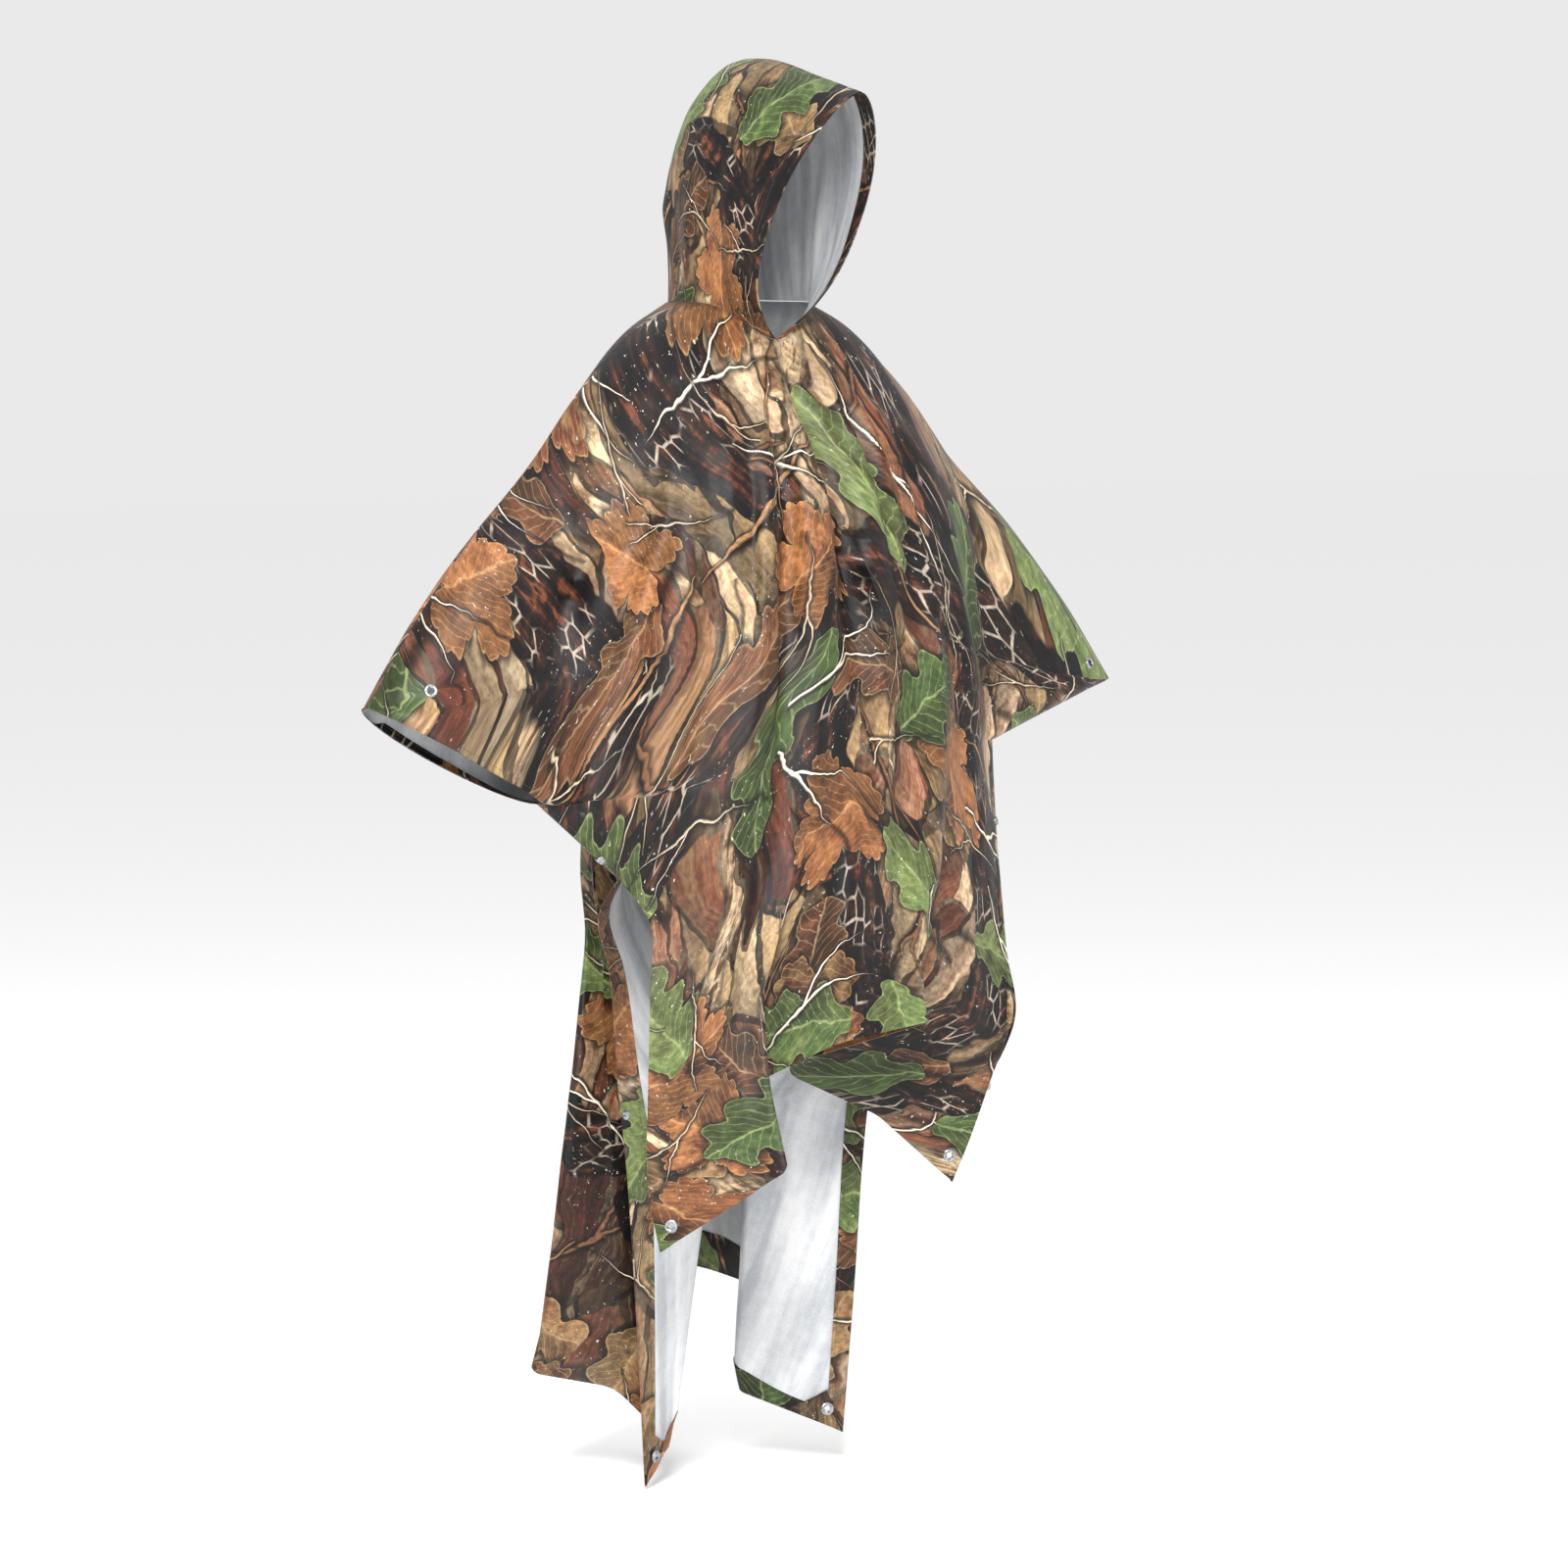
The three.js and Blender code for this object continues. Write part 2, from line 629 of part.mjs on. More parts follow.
// Turned hems on the inner face, along the bottom and up both sides to the top of the cuff
const hemNear = clothWall / 2 + hemGap;
const hemFar = hemNear + hemWall;
const patchNear = hemFar + seamGap;
const patchFar = patchNear + hemWall;
// Normals point forward on both panels, so the inner face is behind them on the front only
const inward = (panel, near, far) => (panel.forward < 0 ? [-near, -far] : [far, near]);
for (const panel of [front, back]) {
  const { grid, normals, lastRow, lastColumn } = panel;
  const stem = panel.name.replace("_panel", "");
  const layer = inward(panel, hemNear, hemFar);
  const bottom = gridWall(grid.slice(-2), normals.slice(-2), ...layer);
  addMesh(`${stem}_bottom_hem`, pierced(bottom), cloth(printColours.hem));
  for (const [side, start] of [["right", 0], ["left", lastColumn - 1]]) {
    const edge = start === 0 ? 0 : 1;
    const strip = (g) => g.slice(shoulderRows + 1, lastRow)
      .map((row) => row.slice(start, start + 2).map((p) => p.clone()));
    const points = strip(grid);
    const facing = strip(normals);
    for (let i = cuffRows; i <= seamEndRow - shoulderRows - 1; i++) {
      points[i][edge].lerp(points[i][1 - edge], seamInset);
      facing[i][edge].lerp(facing[i][1 - edge], seamInset).normalize();
    }
    const [above, end] = points.slice(-2);
    end.forEach((p, k) => p.lerp(above[k], 0.03));
    const wall = gridWall(points, facing, ...layer, strip(grid));
    addMesh(`${stem}_${side}_hem`, pierced(wall), cloth(printColours.hem));
  }
}

// A triangle of cloth over the hems in each corner
for (const { panel, side, name } of corners) {
  const { grid, normals, lastRow, lastColumn } = panel;
  const column = (k) => (side === "right" ? k : lastColumn - k);
  const spots = [[0, 0], [0, 1], [0, 2], [1, 0], [1, 1], [2, 0]];
  const pick = (g) => spots.map(([up, k]) => g[lastRow - up][column(k)]);
  let triangles = [[0, 1, 3], [1, 4, 3], [1, 2, 4], [3, 4, 5]];
  if (side === "left") triangles = triangles.map(([a, b, c]) => [a, c, b]);
  const wall = thicken(pick(grid), pick(normals), triangles, ...inward(panel, patchNear, patchFar));
  addMesh(`corner_patch_${name}`, pierced(wall), cloth(printColours.hem));
}

// Snaps on the side hems: a closed pair at the top of each side slit, seen as a cap
// on each panel, and an open pair further down
for (const { panel, side, name } of corners) {
  const column = side === "right" ? 0.5 : panel.lastColumn - 0.5;
  const capPlace = placeAt(panel, seamEndRow - 0.5, column);
  const cap = addMesh(`snap_cap_${name}`, snapGeometry(), steel());
  placeOn(cap, capPlace, clothWall / 2 + snapButton.clear);
  let openRow = seamEndRow;
  let drop = 0;
  while (drop < openSnapDrop) {
    drop += panel.grid[openRow][0].distanceTo(panel.grid[openRow + 1][0]);
    openRow += 1;
  }
  const place = placeAt(panel, openRow - 0.5, column);
  place.normal.negate();
  placeOn(addMesh(`snap_open_${name}`, snapGeometry(), steel()), place, hemFar + snapButton.clear);
}

// Half of the hood as ribs that run from its centre seam down to the neck line
function hoodGrid(sign) {
  const seam = curveThrough(hoodSeam);
  const half = (row) => row.filter((p) => sign * p.x >= 0).sort((a, b) => a.y - b.y);
  const neck = [...half(front.grid[0]), ...half(back.grid[0])];
  const grid = [];
  for (let i = 0; i <= hoodRibs; i++) {
    const along = i / hoodRibs;
    const top = seam.getPointAt(along);
    const foot = readRow(neck, along);
    foot.z += neckGap;
    const halfWidth = between(hoodWidths, "along", along, "half");
    const rib = [];
    for (let k = 0; k <= hoodSteps; k++) {
      const t = lerp(k / hoodSteps, (1 - Math.cos(Math.PI * k / hoodSteps)) / 2, 0.5);
      const out = halfWidth * Math.sin(Math.PI * Math.min(t, 0.5)) ** 0.6;
      const inTo = Math.max(0, 2 * t - 1) ** 3;
      const x = Math.max(lerp(out, sign * foot.x, inTo), seamGap / 2);
      rib.push(new THREE.Vector3(sign * x, lerp(top.y, foot.y, t), lerp(top.z, foot.z, t)));
    }
    grid.push(rib);
  }
  return grid;
}

for (const [side, sign] of [["right", -1], ["left", 1]]) {
  const grid = hoodGrid(sign);
  if (sign > 0) grid.forEach((rib) => rib.reverse());
  const seamStep = sign > 0 ? hoodSteps : 0;
  const normals = gridNormals(grid, (normal, i, k) => {
    if (k === hoodSteps - seamStep) normal.z = 0;
    if (k === seamStep || i === hoodRibs) normal.x = 0;
  });
  const wall = gridWall(grid, normals, clothWall / 2, -clothWall / 2);
  addMesh(`hood_${side}`, wall, cloth(printColours.hood));
  const hem = gridWall(grid.slice(0, 2), normals.slice(0, 2), -hemNear, -hemFar);
  addMesh(`hood_${side}_hem`, hem, cloth(printColours.hem));
}

export default poncho;
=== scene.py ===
import math
import bmesh
import bpy
import numpy as np
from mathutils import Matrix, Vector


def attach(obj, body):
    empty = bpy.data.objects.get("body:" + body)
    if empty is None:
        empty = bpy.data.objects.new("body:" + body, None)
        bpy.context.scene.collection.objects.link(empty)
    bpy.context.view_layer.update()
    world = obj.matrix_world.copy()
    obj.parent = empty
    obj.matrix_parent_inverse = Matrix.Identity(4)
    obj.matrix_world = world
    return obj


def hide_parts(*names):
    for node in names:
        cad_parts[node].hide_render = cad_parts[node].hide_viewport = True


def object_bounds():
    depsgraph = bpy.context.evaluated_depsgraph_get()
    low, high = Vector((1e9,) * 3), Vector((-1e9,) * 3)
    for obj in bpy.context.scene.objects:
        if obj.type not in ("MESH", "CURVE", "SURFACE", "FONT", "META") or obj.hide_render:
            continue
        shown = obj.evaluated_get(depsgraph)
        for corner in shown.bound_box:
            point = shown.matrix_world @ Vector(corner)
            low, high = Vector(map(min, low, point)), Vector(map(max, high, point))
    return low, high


# Rain poncho, worn with nobody in it. Metres, +Z up, the front faces -Y, the wearer's left is +X.
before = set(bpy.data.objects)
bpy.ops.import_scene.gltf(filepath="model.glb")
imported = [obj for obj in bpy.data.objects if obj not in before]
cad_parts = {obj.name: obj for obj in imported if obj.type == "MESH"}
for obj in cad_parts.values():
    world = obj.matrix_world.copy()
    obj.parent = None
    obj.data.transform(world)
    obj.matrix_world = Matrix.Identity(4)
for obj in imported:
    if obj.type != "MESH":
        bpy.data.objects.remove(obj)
cadBox = [list(corner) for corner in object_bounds()]
print("frame loaded,", len(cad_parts), "nodes")

# Camera, floor and light. The picture's width, the focal length and the drop to the middle are in pixels.
view = {
    "turn": math.radians(36), "distance": 9.0, "aside": 0.042, "height": 0.063,
    "pictureWidth": 1600, "focalLength": 7560, "dropToMiddle": 545, "sensor": 36,
}
studio = {
    "floorDrop": 0.004, "floorSize": 60, "floorColour": (0.99, 0.99, 0.99, 1), "skyColour": (1, 1, 1, 1),
    "skyPower": 0.82, "aim": (0, 0, -0.5),
    # Soft boxes at the front left, the front right and above: place, power, size
    "lights": {
        "keyLight": ((-3.6, -4.2, 2.6), 600, 1.8),
        "fillLight": ((3.8, -4.0, 0.6), 60, 4.0),
        "topLight": ((0.4, 0.6, 3.4), 60, 4.0),
    },
}


def inScene(name, data):
    made = bpy.data.objects.new(name, data)
    bpy.context.scene.collection.objects.link(made)
    return made


def addCamera():
    # Level direction of view turned from +Y towards +X, then tilted down about the right-hand axis
    sideways = np.array([math.cos(view["turn"]), -math.sin(view["turn"]), 0])
    level = np.array([math.sin(view["turn"]), math.cos(view["turn"]), 0])
    tilt = math.atan(view["dropToMiddle"] / view["focalLength"])
    data = bpy.data.cameras.new("camera")
    data.sensor_width = view["sensor"]
    data.lens = view["sensor"] * view["focalLength"] / view["pictureWidth"]
    camera = inScene("camera", data)
    camera.location = sideways * view["aside"] - level * view["distance"] + [0, 0, view["height"]]
    camera.rotation_euler = (math.pi / 2 - tilt, 0, -view["turn"])
    bpy.context.scene.camera = camera


def addStudio():
    # A square floor just under the lowest corner, an even sky, and lights turned to look at one point
    floorHeight = cadBox[0][2] - studio["floorDrop"]
    reach = studio["floorSize"] / 2
    mesh = bpy.data.meshes.new("floor")
    corners = [(-reach, -reach), (reach, -reach), (reach, reach), (-reach, reach)]
    mesh.from_pydata([(x, y, floorHeight) for x, y in corners], [], [(0, 1, 2, 3)])
    floor = inScene("floor", mesh)
    paint = bpy.data.materials.new("paleFloor")
    paint.use_nodes = True
    shader = paint.node_tree.nodes["Principled BSDF"]
    shader.inputs["Base Color"].default_value = studio["floorColour"]
    shader.inputs["Roughness"].default_value = 1
    shader.inputs["Specular IOR Level"].default_value = 0
    mesh.materials.append(paint)
    world = bpy.data.worlds.new("studio")
    world.use_nodes = True
    world.node_tree.nodes["Background"].inputs["Color"].default_value = studio["skyColour"]
    world.node_tree.nodes["Background"].inputs["Strength"].default_value = studio["skyPower"]
    bpy.context.scene.world = world
    for name, (place, power, size) in studio["lights"].items():
        lamp = bpy.data.lights.new(name, "AREA")
        lamp.energy = power
        lamp.size = size
        light = inScene(name, lamp)
        light.location = place
        aim = np.array(studio["aim"]) - np.array(place)
        level = math.hypot(aim[0], aim[1])
        light.rotation_euler = (math.atan2(level, -aim[2]), 0, math.atan2(aim[1], aim[0]) - math.pi / 2)


addCamera()
addStudio()
print("camera, floor and light set")

# The cut of the poncho, as its solids have it
cut = {
    "clothWall": 0.0006, "hemGap": 0.0005, "hemWidth": 0.022, "neckGap": 0.0009, "seamGap": 0.0004,
    "shoulderRows": 8, "cuffRows": 4, "seamRows": 2, "openRows": 11, "turnSteps": 4, "layStep": 0.042,
    "turnShare": 0.12, "meanWidth": 1.2, "sheetWidth": 1.51, "neckDrop": 0.06,
    # How much deeper the creases are than in the tables, how still the folded layers stay, where the
    # deepening ends above them and over what share of the rows
    "mainCreases": 1.5, "fineCreases": 2.0, "stillFolds": 0.8, "looseEnd": 0.1, "looseFade": 0.25,
    # The fine creases fade out over these columns and rows, and to a least share at the hem
    "fadeColumns": 4, "fadeRows": 3, "hemFadeRows": 2, "hemLeast": 0.25, "sharpFrom": math.radians(60),
    # The grid: the step across a lay, the points on a plain row, and how many parts each row or column has
    "columnStep": 0.0085, "plainPoints": 200, "neckRows": 5, "neckParts": 8, "shoulderParts": 7,
    "sideParts": 4, "edgeParts": 8, "hemParts": 12,
}
sheetRows = cut["shoulderRows"] + cut["cuffRows"] + cut["seamRows"] + cut["openRows"]
seamEnd = sheetRows - cut["openRows"]
ridge = np.array([
    (0.088, 0.020, 0), (0.146, 0.022, -0.030), (0.238, 0.020, -0.109), (0.314, 0.016, -0.197),
    (0.402, 0.012, -0.284), (0.481, 0.008, -0.377), (0.550, 0.004, -0.474),
])
sides = {
    "right": {"sign": -1, "cuffBottom": (0.345, -0.050, -0.592), "open": 0.058, "sag": 0.006,
              "snap": (0.262, -0.100, -0.682)},
    "left": {"sign": 1, "cuffBottom": (0.322, -0.060, -0.541), "open": 0.014, "sag": -0.004,
             "snap": (0.296, -0.110, -0.671)},
}

# Length and area are the built cloth's own. swell: row, middle, reach, side, round.
# folds: across, midX, midY, x, y, z, round. creases: topX, topZ, endX, endZ, deep, wide
frontPanel = {
    "forward": -1, "bodyHalfWidth": 0.300, "length": 0.90, "area": 0.86,
    "rightEdge": [(-0.240, -0.132, -0.735), (-0.250, -0.146, -0.810), (-0.252, -0.144, -0.930),
                  (-0.250, -0.140, -1.045), (-0.238, -0.148, -1.125)],
    "leftEdge": [(0.287, -0.140, -0.790), (0.285, -0.160, -0.873), (0.256, -0.150, -0.948),
                 (0.232, -0.140, -1.020), (0.212, -0.130, -1.076)],
    "swell": [
        (0, -0.045, 0.055, 0.055, 2), (0.1, -0.112, 0.108, 0.030, 3), (0.2, -0.222, 0.165, 0.054, 6),
        (0.3, -0.350, 0.188, 0.062, 9), (0.45, -0.512, 0.203, 0.090, 7), (0.56, -0.600, 0.210, 0.118, 5),
        (0.7, -0.690, 0.220, 0.140, 4), (1, -0.885, 0.235, 0.140, 4),
    ],
    "foldStart": 0.36, "foldMiddle": 0.78,
    "folds": [
        (0, -0.250, -0.144, -0.238, -0.148, -1.125, 0),
        (0.36, -0.130, -0.236, -0.134, -0.280, -1.016, 0.012),
        (0.4, -0.140, -0.186, -0.158, -0.106, -0.965, 0.020),
        (0.5, -0.030, -0.226, -0.040, -0.236, -0.880, 0.060),
        (0.7, 0.104, -0.222, 0.098, -0.256, -0.858, 0.009),
        (0.75, 0.096, -0.176, -0.022, -0.084, -0.925, 0.020),
        (0.86, 0.200, -0.170, 0.120, -0.100, -0.990, 0.060),
        (1, 0.285, -0.150, 0.212, -0.130, -1.076, 0),
    ],
    "creases": [
        (-0.150, -0.090, -0.288, -0.570, -0.016, 0.026), (-0.120, -0.100, -0.226, -0.720, -0.012, 0.024),
        (-0.060, -0.150, -0.112, -0.900, -0.014, 0.026), (0.008, -0.070, 0.016, -0.420, -0.013, 0.022),
        (0.130, -0.150, 0.080, -0.700, -0.012, 0.026), (0.150, -0.110, 0.215, -0.640, -0.013, 0.028),
        (0.190, -0.130, 0.262, -0.430, -0.009, 0.026),
    ],
}
backPanel = {
    "forward": 1, "bodyHalfWidth": 0.245, "length": 1.24, "area": 1.33,
    "rightEdge": [(-0.252, -0.042, -0.733), (-0.206, 0, -0.810), (-0.183, 0.018, -0.940),
                  (-0.165, 0.024, -1.060), (-0.154, 0.020, -1.240), (-0.145, 0.016, -1.438)],
    "leftEdge": [(0.258, -0.044, -0.733), (0.216, 0, -0.830), (0.197, 0.022, -0.994),
                 (0.181, 0.030, -1.230), (0.168, 0.035, -1.402)],
    "swell": [
        (0, 0.006, 0.105, 0.105, 2), (0.1, -0.080, 0.128, 0.040, 3), (0.2, -0.205, 0.165, 0.050, 6),
        (0.3, -0.350, 0.180, 0.060, 9), (0.45, -0.535, 0.172, 0.028, 7), (0.56, -0.630, 0.165, 0.014, 5),
        (0.7, -0.790, 0.185, 0.050, 4), (1, -1.205, 0.245, 0.080, 4),
    ],
    "foldStart": 0.36, "foldMiddle": 0.76,
    "folds": [
        (0, -0.183, 0.018, -0.145, 0.016, -1.438, 0),
        (0.25, 0.024, 0.058, -0.094, 0.036, -1.390, 0.008),
        (0.28, -0.150, 0.090, -0.152, 0.072, -1.322, 0.060),
        (0.31, -0.214, 0.104, -0.246, 0.134, -1.302, 0.014),
        (0.38, -0.090, 0.140, -0.110, 0.176, -1.245, 0.036),
        (0.45, -0.040, 0.216, -0.040, 0.282, -1.222, 0.030),
        (0.52, 0.026, 0.160, 0.028, 0.196, -1.205, 0.036),
        (0.59, 0.086, 0.210, 0.106, 0.268, -1.212, 0.030),
        (0.66, 0.130, 0.150, 0.146, 0.180, -1.235, 0.026),
        (0.72, 0.208, 0.110, 0.226, 0.140, -1.275, 0.014),
        (0.78, 0.044, 0.090, 0.044, 0.094, -1.345, 0.008),
        (1, 0.190, 0.022, 0.168, 0.035, -1.402, 0),
    ],
    "creases": [
        (-0.160, -0.090, -0.288, -0.560, -0.016, 0.026), (-0.110, -0.080, -0.190, -0.700, -0.013, 0.028),
        (-0.045, -0.110, -0.080, -0.860, -0.012, 0.026), (0.030, -0.090, 0.024, -0.860, -0.014, 0.024),
        (0.105, -0.080, 0.130, -0.800, -0.012, 0.026), (0.170, -0.090, 0.284, -0.560, -0.016, 0.026),
    ],
}


def ease(t):
    return t * t * (3 - 2 * t)


def lerp(a, b, t):
    return a + (b - a) * t


def between(table, place, column):
    # A table column read between its rows with Hermite cubics whose slopes are clamped against overshoot
    xs = np.array([row[0] for row in table], float)
    ys = np.array([row[column] for row in table], float)
    at = np.clip(np.asarray(place, float), xs[0], xs[-1])
    last = len(xs) - 1
    ends = [np.maximum(np.arange(last + 1) - 1, 0), np.minimum(np.arange(last + 1) + 1, last)]
    slopes = (ys[ends[1]] - ys[ends[0]]) / (xs[ends[1]] - xs[ends[0]])
    i = np.clip(np.searchsorted(xs, at, side="left") - 1, 0, last - 1)
    step = xs[i + 1] - xs[i]
    t = (at - xs[i]) / step
    most = 3 * (ys[i + 1] - ys[i]) / step
    kept = [np.clip(slopes[k], np.minimum(0, most), np.maximum(0, most)) * step for k in (i, i + 1)]
    return (ys[i] * (2 * t**3 - 3 * t**2 + 1) + kept[0] * (t**3 - 2 * t**2 + t)
            + ys[i + 1] * (3 * t**2 - 2 * t**3) + kept[1] * (t**3 - t**2))


def nearest(values, wanted):
    # Index of the value closest to the wanted one
    return int(np.argmin(np.abs(values - wanted)))


def runAlong(points, axis=0):
    # Lengths from the start of a line of points, or of each line of a grid
    steps = np.diff(points, axis=axis, prepend=np.take(points, [0], axis=axis))
    return np.cumsum(np.linalg.norm(steps, axis=-1), axis=axis)


def smoothLine(points, steps=40):
    # Centripetal Catmull-Rom: each span is a cubic, its end slopes weighted by the roots of the distances
    p = np.asarray(points, float)
    p = np.vstack([2 * p[:1] - p[1:2], p, 2 * p[-1:] - p[-2:-1]])
    gap = np.sqrt(np.linalg.norm(np.diff(p, axis=0), axis=1))[:, None]
    before, span, after = gap[:-2], gap[1:-1], gap[2:]
    p0, p1, p2, p3 = p[:-3], p[1:-2], p[2:-1], p[3:]
    leave = ((p1 - p0) / before - (p2 - p0) / (before + span) + (p2 - p1) / span) * span
    reach = ((p2 - p1) / span - (p3 - p1) / (span + after) + (p3 - p2) / after) * span
    t = np.linspace(0, 1, steps, endpoint=False)[:, None, None]
    line = (p1 * (2 * t**3 - 3 * t**2 + 1) + leave * (t**3 - 2 * t**2 + t)
            + p2 * (3 * t**2 - 2 * t**3) + reach * (t**3 - t**2))
    return np.vstack([line.transpose(1, 0, 2).reshape(-1, p.shape[1]), p[-2:-1]])


def readLine(line, share):
    # The points at given shares of a line's length
    lengths = runAlong(line)
    return np.stack([np.interp(np.asarray(share) * lengths[-1], lengths, c) for c in line.T], axis=-1)


def stepsToHem(count, length):
    # Even shares of a length, with a last step as wide as a hem
    return np.append(np.linspace(0, 1 - cut["hemWidth"] / length, count), 1)


def sideBoundary(panel, side, edgePoints, rows):
    # Ridge, half turn round the cuff, closed seam and open edge, each over its own stretch of rows
    sign, forward = side["sign"], panel["forward"]
    apart = forward * cut["seamGap"] / 2
    bottom, snap, top = np.array(side["cuffBottom"]), np.array(side["snap"]), ridge[-1]
    a, b, c = cut["shoulderRows"], cut["shoulderRows"] + cut["cuffRows"], seamEnd
    onRidge = readLine(smoothLine(ridge), np.clip(rows / a, 0, 1))
    turn = np.pi * np.clip((rows - a) / (b - a), 0, 1)[:, None]
    onCuff = lerp(top, bottom, (1 - np.cos(turn)) / 2)
    onCuff = onCuff + np.sin(turn) * np.array([0, forward * side["open"], -side["sag"]])
    onSeam = lerp(bottom, snap, np.clip((rows - b) / (c - b), 0, 1)[:, None])
    line = smoothLine([np.array([sign, 1, 1]) * snap, *edgePoints])
    shares = np.interp(rows, np.arange(c, sheetRows + 1), stepsToHem(cut["openRows"], runAlong(line)[-1]))
    onEdge = readLine(line, shares)
    mirrored = np.select([(rows < a)[:, None], (rows < b)[:, None]], [onRidge, onCuff], onSeam)
    points = np.where((rows < c)[:, None], mirrored * [sign, 1, 1], onEdge)
    return points + [0, apart, 0]


def foldedLine(corners, rounds, mostReach=0.45):
    # Straight lays through the corners, joined by arcs: a list of functions of a share from 0 to 1.
    # An arc takes up no more than its share of the shorter of the lays beside it.
    curves, start = [], corners[0]
    for i in range(1, len(corners) - 1):
        corner = corners[i]
        inward, onward = corners[i - 1] - corner, corners[i + 1] - corner
        li, lo = np.linalg.norm(inward), np.linalg.norm(onward)
        half = math.acos(np.clip(inward @ onward / li / lo, -1, 1)) / 2
        reach = min(rounds[i] / math.tan(half), mostReach * min(li, lo))
        enter, leave = corner + inward / li * reach, corner + onward / lo * reach
        middle = (enter + leave) / 2 - corner
        centre = corner + middle / np.linalg.norm(middle) * reach / math.cos(half)
        curves.append(straight(start, enter))
        curves.append(arc(centre, enter, leave))
        start = leave
    curves.append(straight(start, corners[-1]))
    return curves


def straight(a, b):
    # From one point to the other in even steps
    return {"length": np.linalg.norm(b - a), "at": lambda t: lerp(a, b, t[:, None])}


def arc(centre, a, b):
    # Both radii weighted by the sines of the angle still to go and the angle gone
    u, v = a - centre, b - centre
    angle = math.acos(np.clip(u @ v / np.linalg.norm(u) / np.linalg.norm(v), -1, 1))

    def at(t):
        fromStart, fromEnd = np.sin((1 - t) * angle)[:, None], np.sin(t * angle)[:, None]
        return centre + (u * fromStart + v * fromEnd) / math.sin(angle)

    return {"length": np.linalg.norm(u) * angle, "at": at}


def mainColumns(panel, curves):
    # The solids' own columns: the curve and share that each reads, and where it hangs from
    last = len(curves) - 1
    curve, share = [], []
    for k, piece in enumerate(curves):
        steps = cut["turnSteps"] if k % 2 else max(1, math.floor(piece["length"] / cut["layStep"] + 0.5))
        ts = np.arange(steps) / steps
        if k == 0:
            ts = 1 - stepsToHem(steps, piece["length"])[1:][::-1]
        if k == last:
            ts = stepsToHem(steps, piece["length"])
        curve += [k] * len(ts)
        share += list(ts)
    curve, share = np.array(curve), np.array(share)
    first = curve // 2
    inTurn = curve % 2 == 1
    near, far = cut["turnShare"], 1 - cut["turnShare"]
    low = np.where(first == 0, 0, near)
    high = np.where(first == len(panel["folds"]) - 2, 1, far)
    place = np.where(inTurn, first + lerp(far, 1 + near, share), first + lerp(low, high, share))
    guides = [(i, fold[0]) for i, fold in enumerate(panel["folds"])]
    across = between(guides, place, 1)
    hemShare = cut["hemWidth"] / cut["meanWidth"]
    across[1], across[-2] = hemShare, 1 - hemShare
    return curve, share, across


def fineSteps(count, parts):
    # Every step from 0 to count, cut into its own number of parts
    return np.concatenate([i + np.arange(parts(i)) / parts(i) for i in range(count)] + [[count]])


def rowParts(i):
    # More parts near the neck and just above the hem, where the creases and the corner patches are
    if i < cut["neckRows"]:
        return cut["neckParts"]
    if i < cut["shoulderRows"]:
        return cut["shoulderParts"]
    return cut["hemParts"] if i == sheetRows - 2 else cut["sideParts"]


print("cut read")


